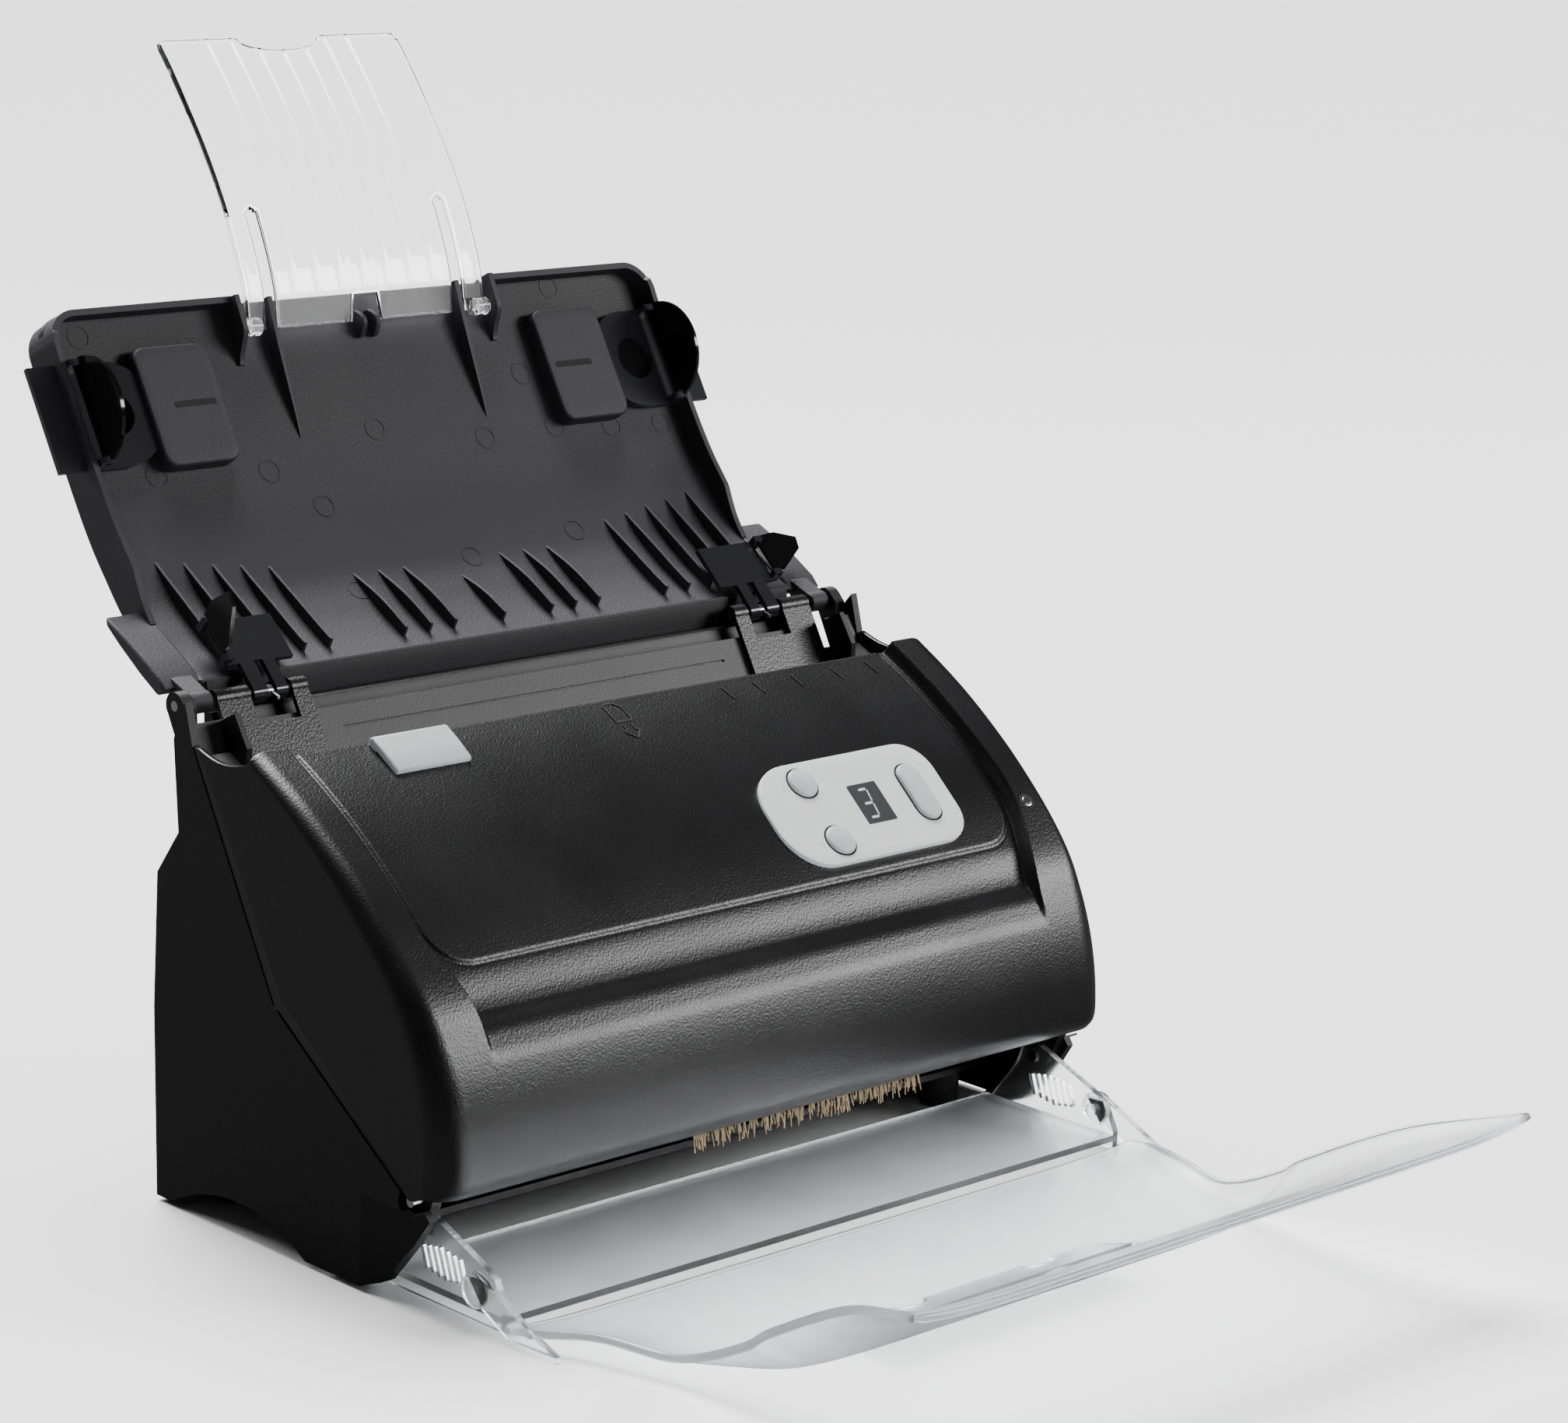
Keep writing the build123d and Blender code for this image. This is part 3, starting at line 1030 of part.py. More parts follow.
# ---------------------------------------------------------------- output trays
ARM_OUTLINE = [(-26.0, 0.6), (-80.0, 0.6), (-80.0, 6.0), (-75.5, 14.5), (-70.0, 17.0),
               (-47.0, 26.0), (-41.0, 24.0), (-39.0, 18.0), (-30.0, 6.0)]
OUTER_PIN_R = 2.0
with BuildPart() as inner_tray:
    for sign in (-1, 1):
        slab(ARM_OUTLINE, mirrored_start(sign, ARM_IN, ARM_OUT), ARM_OUT - ARM_IN)
        rod(TRAY_PIVOT, 2.0, mirrored_start(sign, ARM_IN, ARM_OUT), ARM_OUT - ARM_IN,
            mode=Mode.SUBTRACT)
        rod(OUTER_PIVOT, OUTER_PIN_R + RUN_GAP, mirrored_start(sign, ARM_IN, ARM_OUT),
            ARM_OUT - ARM_IN, mode=Mode.SUBTRACT)
        # oval grille of slanting slots
        for index in range(-3, 4):
            with BuildSketch(side_plane(mirrored_start(sign, ARM_IN, ARM_OUT))):
                with Locations((-53.8 + 2.6 * index, 12.6)):
                    SlotOverall(9.6 - 0.9 * abs(index), 1.3, rotation=70)
            extrude(amount=ARM_OUT - ARM_IN, mode=Mode.SUBTRACT)
    slab([(-27.0, 3.0), (-80.0, 3.0), (-80.0, 5.0), (-27.0, 5.0)], -ARM_IN, 2 * ARM_IN)
save(inner_tray, "inner_tray")

EAR_SHAPE = [(-66.8, 13.9), (-74.0, 14.2), (-96.0, 4.4), (-96.0, 0.6), (-84.0, 0.6), (-73.0, 6.3)]
TRAY_SIDE = [(EAR_OUT, -96.0), (114.6, -112.0), (106.5, -145.0), (109.0, -190.0), (122.0, -229.0)]
STOP_LEFT = -55.0
STOP_RIGHT = 41.0
with BuildPart() as outer_tray:
    slab(band(TRAY_LINE, -TRAY_WALL), -EAR_OUT, 2 * EAR_OUT)
    for sign in (-1, 1):
        with BuildSketch():
            with BuildLine():
                Spline(*[(sign * x, y) for x, y in TRAY_SIDE])
                Polyline((sign * 122.0, -229.0), (sign * 122.0, -240.0), (sign * 140.0, -240.0),
                         (sign * 140.0, -96.0), (sign * EAR_OUT, -96.0))
            make_face()
        extrude(amount=70.0, mode=Mode.SUBTRACT)
        slab(EAR_SHAPE, mirrored_start(sign, EAR_IN, EAR_OUT), EAR_OUT - EAR_IN)
        rod(OUTER_PIVOT, 5.0, mirrored_start(sign, EAR_IN, EAR_OUT), EAR_OUT - EAR_IN)
        rod(OUTER_PIVOT, OUTER_PIN_R, mirrored_start(sign, ARM_IN, EAR_IN), EAR_IN - ARM_IN)
    # rolled front rim
    rod((-229.0, 49.2), 1.7, -120.0, 240.0)
    # lugs that hold the paper stop
    for x_start in (STOP_LEFT - 2.4, STOP_RIGHT + 0.4):
        slab([(-161.0, 8.0), (-154.0, 4.4), (-155.6, STOP_Z + 1.6), (-160.0, STOP_Z + 1.6)],
             x_start, 2.0)
        rod((STOP_Y, STOP_Z), 0.8 + RUN_GAP, x_start, 2.0, mode=Mode.SUBTRACT)
save(outer_tray, "outer_tray")

with BuildPart() as paper_stop:
    slab([(STOP_Y, STOP_Z - 1.2), (STOP_Y, STOP_Z + 1.2), (-142.0, 6.4), (-142.0, 4.6)], STOP_LEFT,
         STOP_RIGHT - STOP_LEFT)
    rod((STOP_Y, STOP_Z), 1.2, STOP_LEFT, STOP_RIGHT - STOP_LEFT)
    rod((STOP_Y, STOP_Z), 0.8, STOP_LEFT - 2.2, STOP_RIGHT - STOP_LEFT + 4.4)
    for x_centre in (-32.0, 18.0):
        with BuildSketch():
            with Locations((x_centre, -142.0)):
                Circle(6.0)
        extrude(amount=20.0, mode=Mode.SUBTRACT)
save(paper_stop, "paper_stop")
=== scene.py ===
# %% [markdown]
# A sheet fed document scanner, dressed for a picture. The frame below already holds the
# working parts. This script gives them finishes and adds the pieces whose shape is smooth
# and doubly curved: the front cover, the paper chute, the clear extender and output tray,
# the control plate and its buttons, the release key and the brush.

# %% Load the frame
from math import radians

import bpy
import numpy as np
from mathutils import Matrix


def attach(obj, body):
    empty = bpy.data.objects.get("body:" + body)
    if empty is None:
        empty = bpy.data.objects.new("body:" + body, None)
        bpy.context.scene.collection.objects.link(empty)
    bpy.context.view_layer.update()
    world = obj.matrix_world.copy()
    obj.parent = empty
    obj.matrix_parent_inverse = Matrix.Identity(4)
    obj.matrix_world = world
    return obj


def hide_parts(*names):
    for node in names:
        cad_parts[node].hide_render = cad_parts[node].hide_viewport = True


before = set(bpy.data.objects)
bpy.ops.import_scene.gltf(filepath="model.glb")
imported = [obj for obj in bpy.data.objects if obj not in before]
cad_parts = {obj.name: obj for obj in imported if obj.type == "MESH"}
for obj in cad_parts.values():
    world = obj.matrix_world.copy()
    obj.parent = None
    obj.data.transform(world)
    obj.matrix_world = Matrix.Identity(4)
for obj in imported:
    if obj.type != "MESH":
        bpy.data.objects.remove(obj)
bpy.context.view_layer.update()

MM = 0.001


# %% [markdown]
# Every material is made of a few nodes. One small function adds a node, sets its plain
# values and links its sockets, so each finish below reads like a recipe.

# %% A node with its settings and links
def add(tree, kind, settings=None, links=None):
    """Add a node, set its attributes and input values, and link inputs from other sockets."""
    node = tree.nodes.new(kind)
    for key, value in (settings or {}).items():
        if key in node.inputs:
            node.inputs[key].default_value = value
        else:
            setattr(node, key, value)
    for key, socket in (links or {}).items():
        tree.links.new(socket, node.inputs[key])
    return node


def colour(code):
    """sRGB hex colour as linear RGBA: each channel is undone by the sRGB curve."""
    channels = np.array([int(code[i:i + 2], 16) for i in (1, 3, 5)]) / 255
    low = channels / 12.92
    high = ((channels + 0.055) / 1.055) ** 2.4
    return (*np.where(channels <= 0.04045, low, high), 1.0)


def start_material(name):
    """A new material with an empty tree and an output."""
    material = bpy.data.materials.new(name)
    material.use_nodes = True
    tree = material.node_tree
    tree.nodes.clear()
    return material, tree, add(tree, "ShaderNodeOutputMaterial")


# %% [markdown]
# Moulded ABS takes its look from the steel mould. A spark eroded mould leaves a fine grain
# of pits a few tenths of a millimetre wide, which breaks up the highlight. Where hands touch
# it the grain is a little smoother, so the roughness drifts slowly over centimetres.

# %% Moulded plastic
def moulded_plastic(name, code, worn_code, roughness, grain_mm, grain_depth, drift=0.06):
    """Opaque moulded plastic: colour drifting between two tones, and a pitted grain."""
    material, tree, output = start_material(name)
    place = add(tree, "ShaderNodeTexCoord").outputs["Object"]
    cloud = add(tree, "ShaderNodeTexNoise", {"Scale": 1 / (45 * MM), "Detail": 3.0}, {"Vector": place})
    tone = add(tree, "ShaderNodeMix", {"data_type": "RGBA"}, {"Factor": cloud.outputs["Fac"]})
    tone.inputs[6].default_value = colour(code)
    tone.inputs[7].default_value = colour(worn_code)
    rough = add(tree, "ShaderNodeMapRange", {"To Min": roughness - drift, "To Max": roughness + drift},
                {"Value": cloud.outputs["Fac"]})
    grain = add(tree, "ShaderNodeTexNoise", {"Scale": 1 / (grain_mm * MM), "Detail": 2.0,
                                             "Roughness": 0.6}, {"Vector": place})
    bump = add(tree, "ShaderNodeBump", {"Strength": grain_depth, "Distance": 0.12 * MM},
               {"Height": grain.outputs["Fac"]})
    shader = add(tree, "ShaderNodeBsdfPrincipled", {"IOR": 1.52},
                 {"Base Color": tone.outputs[2], "Roughness": rough.outputs["Result"],
                  "Normal": bump.outputs["Normal"]})
    tree.links.new(shader.outputs["BSDF"], output.inputs["Surface"])
    return material


black_abs = moulded_plastic("black_abs_fine_grain", "#060607", "#0a0a0d", 0.33, 0.7, 0.9)
side_abs = moulded_plastic("black_abs_matt_side", "#030303", "#050505", 0.5, 0.5, 0.6)
chute_abs = moulded_plastic("charcoal_abs_coarse_grain", "#1b1a1e", "#212025", 0.6, 0.8, 0.9)
deck_abs = moulded_plastic("dark_grey_abs_deck", "#3a3a3c", "#434345", 0.5, 0.7, 0.8)
white_abs = moulded_plastic("white_abs_satin", "#cfd0d2", "#d6d7d8", 0.4, 0.5, 0.25)
grey_abs = moulded_plastic("pale_grey_abs_key", "#b2b3b6", "#babbbd", 0.42, 0.5, 0.25)
gloss_black = moulded_plastic("black_abs_gloss", "#050505", "#080808", 0.12, 2.0, 0.08, 0.03)
smoke_abs = moulded_plastic("smoke_grey_abs_polished", "#1c1c1e", "#242427", 0.2, 1.5, 0.12, 0.05)
acetal = moulded_plastic("natural_acetal_gear", "#d9d6cc", "#e2dfd6", 0.45, 1.0, 0.3)
board_resin = moulded_plastic("green_solder_resist", "#0f3b22", "#154a2c", 0.35, 1.2, 0.3)


# %% [markdown]
# Steel pins and screws are bright zinc or nickel plate over drawn wire, so faint lines run
# along them. Rubber is the opposite: soft, dark and dusty. Clear trays are polystyrene, a
# few tenths hazy from handling, and the bristles are bundles of tan nylon.

# %% Metal, rubber, clear plastic, glass and bristle
def plated_steel(name, code, roughness):
    """Bright plated metal with faint drawing lines."""
    material, tree, output = start_material(name)
    place = add(tree, "ShaderNodeTexCoord").outputs["Object"]
    stretch = add(tree, "ShaderNodeMapping", {"Scale": (0.2, 3.0, 3.0)}, {"Vector": place})
    lines = add(tree, "ShaderNodeTexNoise", {"Scale": 1 / (0.9 * MM), "Detail": 2.0},
                {"Vector": stretch.outputs["Vector"]})
    rough = add(tree, "ShaderNodeMapRange", {"To Min": roughness - 0.06, "To Max": roughness + 0.08},
                {"Value": lines.outputs["Fac"]})
    shader = add(tree, "ShaderNodeBsdfPrincipled", {"Base Color": colour(code), "Metallic": 1.0},
                 {"Roughness": rough.outputs["Result"]})
    tree.links.new(shader.outputs["BSDF"], output.inputs["Surface"])
    return material


def clear_plastic(name, code, roughness, ripple):
    """Clear moulded plastic: fully transmitting, slightly hazy, with a slow ripple."""
    material, tree, output = start_material(name)
    place = add(tree, "ShaderNodeTexCoord").outputs["Object"]
    wave = add(tree, "ShaderNodeTexNoise", {"Scale": 1 / (30 * MM), "Detail": 2.0}, {"Vector": place})
    rough = add(tree, "ShaderNodeMapRange", {"To Min": roughness * 0.6, "To Max": roughness * 1.4},
                {"Value": wave.outputs["Fac"]})
    bump = add(tree, "ShaderNodeBump", {"Strength": ripple, "Distance": 0.3 * MM},
               {"Height": wave.outputs["Fac"]})
    shader = add(tree, "ShaderNodeBsdfPrincipled",
                 {"Base Color": colour(code), "IOR": 1.49, "Transmission Weight": 1.0},
                 {"Roughness": rough.outputs["Result"], "Normal": bump.outputs["Normal"]})
    tree.links.new(shader.outputs["BSDF"], output.inputs["Surface"])
    return material


steel = plated_steel("nickel_plated_steel_pin", "#c9c9cc", 0.22)
motor_steel = plated_steel("zinc_plated_steel_can", "#a9abad", 0.38)
clear_sheet = clear_plastic("clear_polystyrene_sheet", "#ffffff", 0.05, 0.02)
frosted_tray = clear_plastic("frosted_polystyrene_tray", "#fcfdff", 0.22, 0.04)
scan_glass = clear_plastic("float_glass_scan_strip", "#f3faf7", 0.03, 0.02)
rubber = moulded_plastic("black_rubber_moulded", "#141414", "#1b1b1b", 0.75, 0.9, 0.7)
bristle = moulded_plastic("tan_nylon_bristle", "#9c8460", "#c9b48f", 0.6, 0.6, 0.4)
window_black = moulded_plastic("dark_acrylic_window", "#3a3c3e", "#404244", 0.14, 2.0, 0.05, 0.03)
segment_grey = moulded_plastic("pale_display_segment", "#c3c6c4", "#cdd0ce", 0.35, 1.0, 0.1)
# The next finish is painted shade: a near-black, rough plate laid in gaps, slots and recesses where only
# shade falls.
painted_shade_black = moulded_plastic("painted_recess_shade", "#020202", "#040404", 0.8, 0.6, 0.3)

# %% Finishes for the parts that keep their working shape
FINISHES = {
    side_abs: ("base_housing", "bottom_plate", "mouth_trims"),
    deck_abs: ("feed_deck",),
    smoke_abs: ("guide_leaf_left", "guide_leaf_right", "upper_guide_left", "upper_guide_right"),
    black_abs: ("paper_guide_left", "paper_guide_right", "cover_path_plate", "cover_frame",
                "inner_frame", "pad_holder", "rear_scan_bar", "front_scan_bar", "power_jack",
                "switch_frame", "power_switch"),
    gloss_black: ("guide_flap_left", "guide_flap_right", "side_fin_left", "side_fin_right"),
    steel: ("chute_hinge_pins", "cover_pivot_pins", "leaf_pin_left", "leaf_pin_right",
            "feed_roller_shaft", "exit_roller_shaft", "ridge_screw", "case_screws", "data_socket"),
    motor_steel: ("motor",),
    acetal: ("motor_pinion", "guide_pinion", "pinch_rollers", "roller_bearings"),
    rubber: ("rubber_feet", "feed_roller_tyres", "exit_roller_tyres", "drive_belt",
             "separation_pad"),
    board_resin: ("main_board", "button_board"),
    scan_glass: ("rear_scan_glass", "front_scan_glass"),
    frosted_tray: ("inner_tray", "paper_stop"),
}
for finish, names in FINISHES.items():
    for name in names:
        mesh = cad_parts[name].data
        mesh.materials.clear()
        mesh.materials.append(finish)
print("finishes given", sum(len(names) for names in FINISHES.values()))


# %% [markdown]
# New pieces are grids of points worked out with numpy. A smooth line through a few chosen
# points is a Catmull-Rom curve: each stretch is a cubic whose slope at a point is half the
# step between its two neighbours.

# %% Curves, grids and pieces
def smooth_line(points, count):
    """Catmull-Rom curve through points, resampled to count points at even spacing."""
    knots = np.array(points, float)
    padded = np.vstack([2 * knots[0] - knots[1], knots, 2 * knots[-1] - knots[-2]])
    t = np.linspace(0, len(knots) - 1, 60 * len(knots))
    index = np.minimum(t.astype(int), len(knots) - 2)
    f = (t - index)[:, None]
    p0, p1, p2, p3 = (padded[index + k] for k in range(4))
    curve = 0.5 * (2 * p1 + (p2 - p0) * f + (2 * p0 - 5 * p1 + 4 * p2 - p3) * f ** 2
                   + (3 * p1 - p0 - 3 * p2 + p3) * f ** 3)
    return even(curve, count)


def even(curve, count):
    """The same line with count points at even spacing along it."""
    steps = np.r_[0, np.cumsum(np.linalg.norm(np.diff(curve, axis=0), axis=1))]
    where = np.linspace(0, steps[-1], count)
    return np.stack([np.interp(where, steps, curve[:, k]) for k in range(curve.shape[1])], 1)


def left_normals(line):
    """Unit normals of a side-view line, a quarter turn from its direction, rear over up."""
    run = np.gradient(line, axis=0)
    run /= np.linalg.norm(run, axis=1)[:, None]
    return np.stack([-run[:, 1], run[:, 0]], 1)


def grid_faces(rows, columns, wrap=False):
    """Quads of a rows by columns grid of points, joined round along the columns if wrap."""
    i, j = np.meshgrid(np.arange(rows - 1), np.arange(columns - (0 if wrap else 1)), indexing="ij")
    k = (j + 1) % columns
    quads = np.stack([i * columns + j, i * columns + k, (i + 1) * columns + k,
                      (i + 1) * columns + j], -1)
    return quads.reshape(-1, 4)


def make_piece(name, body, points, faces, material, replaces=(), wall=0.0, bevel=0.0, flip=False):
    """Mesh from points in mm and faces, with a finish, riding on a body.

    wall gives it thickness on its inner side; bevel softens its sharp edges."""
    mesh = bpy.data.meshes.new(name)
    faces = [tuple(face)[::-1] if flip else tuple(face) for face in faces]
    mesh.from_pydata((np.asarray(points, float) * MM).tolist(), [], faces)
    mesh.validate()
    mesh.materials.append(material)
    mesh.shade_smooth()
    mesh.set_sharp_from_angle(angle=radians(38))
    piece = bpy.data.objects.new(name, mesh)
    bpy.context.scene.collection.objects.link(piece)
    if wall:
        solid = piece.modifiers.new("wall", "SOLIDIFY")
        solid.thickness = wall * MM
        solid.offset = -1.0
        solid.use_even_offset = True
    if bevel:
        soft = piece.modifiers.new("soft_edges", "BEVEL")
        soft.width = bevel * MM
        soft.segments = 2
        soft.limit_method = "ANGLE"
        soft.angle_limit = radians(38)
        soft.harden_normals = False
    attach(piece, body)
    if replaces:
        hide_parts(*replaces)
    print("made", name, len(faces), "faces, rides on", body)
    return piece


def extruded(name, body, outlines, material, bevel=0.4, replaces=()):
    """Closed side-view outlines, each pushed across from one x to another, as one mesh."""
    points, faces = [], []
    for outline, x_start, x_end in outlines:
        ring = np.array(outline, float)
        area = np.sum(ring[:, 0] * np.roll(ring[:, 1], -1) - np.roll(ring[:, 0], -1) * ring[:, 1])
        if area < 0:
            ring = ring[::-1]
        base = len(points)
        count = len(ring)
        points += [(x_start, y, z) for y, z in ring] + [(x_end, y, z) for y, z in ring]
        faces.append(tuple(base + k for k in range(count))[::-1])
        faces.append(tuple(base + count + k for k in range(count)))
        faces += [(base + k, base + (k + 1) % count, base + count + (k + 1) % count,
                   base + count + k) for k in range(count)]
    return make_piece(name, body, points, faces, material, replaces, bevel=bevel)


# %% [markdown]
# The front cover is one moulding: a rounded bulge in front, a ridge down each side, and a
# panel sunk between the ridges that fades out at a crease above the bulge. Its surface is a
# function of two parameters: how far down the crest line, and how far across. Depth below the
# crest is one more function of both, so the panel, its outline and the hollow band below it
# are written as smooth steps added together.

# %% Front cover
HALF = 131.5
CREST = [(21.0, 140.8), (10.0, 135.0), (-2.0, 128.0), (-18.0, 116.9), (-29.0, 107.8),
         (-40.0, 97.0), (-50.0, 85.6), (-55.9, 75.0), (-60.6, 63.8), (-63.8, 52.0), (-65.1, 41.0),
         (-64.4, 36.2), (-61.6, 33.2)]
SIDE_EDGE = [(20.9, 137.7), (6.2, 129.0), (-8.7, 118.2), (-23.4, 104.6), (-36.2, 92.6),
             (-45.3, 80.3), (-50.8, 70.1), (-54.2, 59.3), (-55.6, 47.9), (-55.8, 38.0),
             (-55.6, 33.6)]
SEAM = [(46.4, 138.0), (8.9, 72.2), (-51.0, 31.8), (-55.0, 33.0)]


def step(edge_low, edge_high, value):
    """Smooth step: 0 below the first edge, 1 above the second, 3t^2 - 2t^3 between."""
    t = np.clip((value - edge_low) / (edge_high - edge_low), 0, 1)
    return t * t * (3 - 2 * t)


ROWS = 260
crest = smooth_line(CREST, ROWS)
crest_up = -left_normals(crest)
side_edge = smooth_line(SIDE_EDGE, ROWS)
seam = even(np.array(SEAM), ROWS)
print("crest length mm", round(float(np.linalg.norm(np.diff(crest, axis=0), axis=1).sum()), 1))

PANEL_CENTRE = np.array([106.8, -45.6])
PANEL_R = 201.4
sink = np.clip(np.linalg.norm(crest - PANEL_CENTRE, axis=1) - PANEL_R, 0, None)
BLEND_ROWS = 9
sink = np.convolve(np.pad(sink, BLEND_ROWS // 2, "edge"), np.ones(BLEND_ROWS) / BLEND_ROWS, "valid")
down = np.linspace(0, 1, ROWS)[:, None]
length = float(np.linalg.norm(np.diff(crest, axis=0), axis=1).sum())
along = down * length
CREASE = 101.0
LINE_END = 81.0
LINE_HALF = 114.0
LINE_ROUND = 13.0

inner_x = np.r_[np.linspace(0, 98, 24), np.linspace(99, 119.5, 84)]
inner_x = np.r_[-inner_x[:0:-1], inner_x]
across = np.abs(inner_x)[None, :]
wall_x = 118.0 - 8.5 * step(62.0, CREASE, along)
in_panel = 1 - step(wall_x - 1.6, wall_x + 0.6, across)
# distance from the outline of the raised panel, positive inside: a rounded rectangle
gap_x = across - (LINE_HALF - LINE_ROUND)
gap_y = along - (LINE_END - LINE_ROUND)
outline = LINE_ROUND - np.hypot(np.clip(gap_x, 0, None), np.clip(gap_y, 0, None)) \
    - np.minimum(np.maximum(gap_x, gap_y), 0)
groove = np.exp(-(outline / 0.55) ** 2)
ledge = 1 - step(-0.9, 0.3, outline)
hollow = step(LINE_END + 1, CREASE - 7, along) * (1 - step(CREASE - 6, CREASE + 2, along))
depth = sink[:, None] * in_panel + (0.5 * groove + 0.55 * ledge * (1 - step(CREASE - 6, CREASE, along))
                                    + 1.1 * hollow) * in_panel
middle = np.stack([np.broadcast_to(inner_x, depth.shape),
                   crest[:, :1] - crest_up[:, :1] * depth,
                   crest[:, 1:] - crest_up[:, 1:] * depth], -1)

ARC = 12
turn = np.linspace(0, np.pi / 2, ARC + 1)[None, :, None]
START = 119.5


def flank(sign):
    """Rounded shoulder and flat side: an elliptical quarter from crest to side edge, then a
    ruled surface from the side edge to the seam, with a shallow dip at its top."""
    reach = np.linspace(0.25, 1, 9)[None, :, None]
    shoulder_x = HALF - 7.0 * (0.75 + 0.6 * step(70, 120, along))[:, :, None]
    flat_x = START + (shoulder_x - START) * reach
    flat_yz = np.broadcast_to(crest[:, None, :], (ROWS, 9, 2))
    arc_x = shoulder_x + (HALF - shoulder_x) * np.sin(turn[:, 1:])
    arc_yz = side_edge[:, None, :] + (crest - side_edge)[:, None, :] * np.cos(turn[:, 1:])
    fade = np.linspace(0, 1, 13)[None, 1:, None]
    side_yz = side_edge[:, None, :] * (1 - fade) + seam[:, None, :] * fade
    dip = 2.6 * np.sin(np.pi * fade[..., 0]) * np.exp(-along / 5.0)
    side_yz = side_yz - np.stack([0 * dip, dip], -1)
    side_x = np.full((ROWS, 12, 1), HALF)
    rows = np.concatenate([np.concatenate([flat_x, flat_yz], -1),
                           np.concatenate([arc_x, arc_yz], -1),
                           np.concatenate([side_x, side_yz], -1)], 1)
    rows[..., 0] *= sign
    return rows


cover_grid = np.concatenate([flank(-1)[:, ::-1], middle, flank(1)], 1)
rows, columns = cover_grid.shape[:2]
make_piece("cover_shell", "front_cover", cover_grid.reshape(-1, 3), grid_faces(rows, columns),
           black_abs, ("front_cover",), wall=1.8, flip=True)
print("cover grid", rows, columns)


# %% [markdown]
# The control plate is an inlay with a soft edge, tangent to the panel. The buttons are low
# domes. A rounded plate is a stack of rounded rectangles: each ring is the outline at one
# height, drawn in as the edge turns over, and the last rings close the top.

# %% Local plane of the control plate
PLATE_Y = -25.4
plate_z = PANEL_CENTRE[1] + (PANEL_R ** 2 - (PLATE_Y - PANEL_CENTRE[0]) ** 2) ** 0.5
plate_out = np.array([0, PLATE_Y - PANEL_CENTRE[0], plate_z - PANEL_CENTRE[1]]) / PANEL_R
plate_up = np.cross(plate_out, [1, 0, 0])
PLATE_PLACE = (np.array([59.8, PLATE_Y, plate_z]), np.array([1.0, 0, 0]), plate_up, plate_out)


def on_plane(place, flat):
    """Points given as right, up and out on a plane, as points of the frame."""
    origin, right, up, out = place
    flat = np.asarray(flat, float)
    return origin + flat[..., :1] * right + flat[..., 1:2] * up + flat[..., 2:3] * out


def rounded_ring(width, height, corner, count=96, centre=(0.0, 0.0)):
    """Outline of a rounded rectangle: four quarter arcs joined by straight sides, evened.

    corner is one radius, or the left one and the right one."""
    left, right = corner if isinstance(corner, tuple) else (corner, corner)
    angle = np.linspace(0, np.pi / 2, 12)
    parts = []
    for start, sx, sy, r in ((0, 1, 1, right), (1, -1, 1, left), (2, -1, -1, left),
                             (3, 1, -1, right)):
        turned = angle + start * np.pi / 2
        parts.append(np.stack([sx * (width / 2 - r) + r * np.cos(turned),
                               sy * (height / 2 - r) + r * np.sin(turned)], 1))
    ring = np.vstack(parts + [parts[0][:1]])
    return even(ring, count + 1)[:-1] + np.array(centre)


def plate_points(ring, low, high, edge, crown=0.0, rings=7):
    """Closed plate on an outline: wall, rounded top edge, and a top raised by a crown.

    The rounded edge is a quarter circle; the crown is 1 minus the square of the ring's size."""
    centre = ring.mean(0)
    size = np.abs(ring - centre).max()
    layers = [(1.0, low), (1.0, high - edge)]
    for turn_angle in np.linspace(0.3, np.pi / 2, 5):
        layers.append((1 - edge * (1 - np.cos(turn_angle)) / size,
                       high - edge + edge * np.sin(turn_angle)))
    last = layers[-1][0]
    for share in np.linspace(1, 0.02, rings)[1:]:
        layers.append((last * share, high + crown * (1 - share ** 2)))
    layers = [(0.02, low)] + layers
    return np.stack([np.concatenate([centre + (ring - centre) * scale,
                                     np.full((len(ring), 1), height)], 1)
                     for scale, height in layers])


def plate_piece(name, body, place, ring, low, high, edge, material, crown=0.0, replaces=()):
    """A rounded plate as a piece, with its bottom and top closed by one face each."""
    layers = plate_points(ring, low, high, edge, crown)
    count = layers.shape[1]
    faces = [tuple(f) for f in grid_faces(layers.shape[0], count, wrap=True)]
    faces.append(tuple(range(count))[::-1])
    faces.append(tuple(range((layers.shape[0] - 1) * count, layers.shape[0] * count)))
    return make_piece(name, body, on_plane(place, layers).reshape(-1, 3), faces, material, replaces)


# %% Control plate, display and buttons
plate_piece("control_inlay", "front_cover", PLATE_PLACE, rounded_ring(73.0, 36.5, (15.5, 11.0)),
            -0.8, 0.95, 0.5, white_abs, replaces=("control_plate",))
plate_piece("display_glass", "front_cover", PLATE_PLACE,
            rounded_ring(12.0, 14.4, 0.5, centre=(4.4, -0.3)), -0.4, 1.05, 0.15, window_black,
            replaces=("display_window",))
BUTTON_SPOTS = {"up_button": (-16.8, 10.8), "down_button": (-16.0, -10.6)}
# Round each button a flat near-black ring lies on the plate: painted shade in the gap between the cap and
# the plate.
for name, spot in BUTTON_SPOTS.items():
    plate_piece(name + "_moat", "front_cover", PLATE_PLACE,
                rounded_ring(11.2, 11.2, 5.59, centre=spot), 0.2, 0.99, 0.05, painted_shade_black)
    plate_piece(name + "_cap", name, PLATE_PLACE, rounded_ring(10.0, 10.0, 4.99, centre=spot),
                -3.6, 2.1, 0.9, grey_abs, crown=0.5, replaces=(name,))
# The same painted shade ring goes round the scan button.
plate_piece("scan_button_moat", "front_cover", PLATE_PLACE,
            rounded_ring(10.2, 21.6, 5.0, centre=(24.4, 0.0)), 0.2, 0.99, 0.05, painted_shade_black)
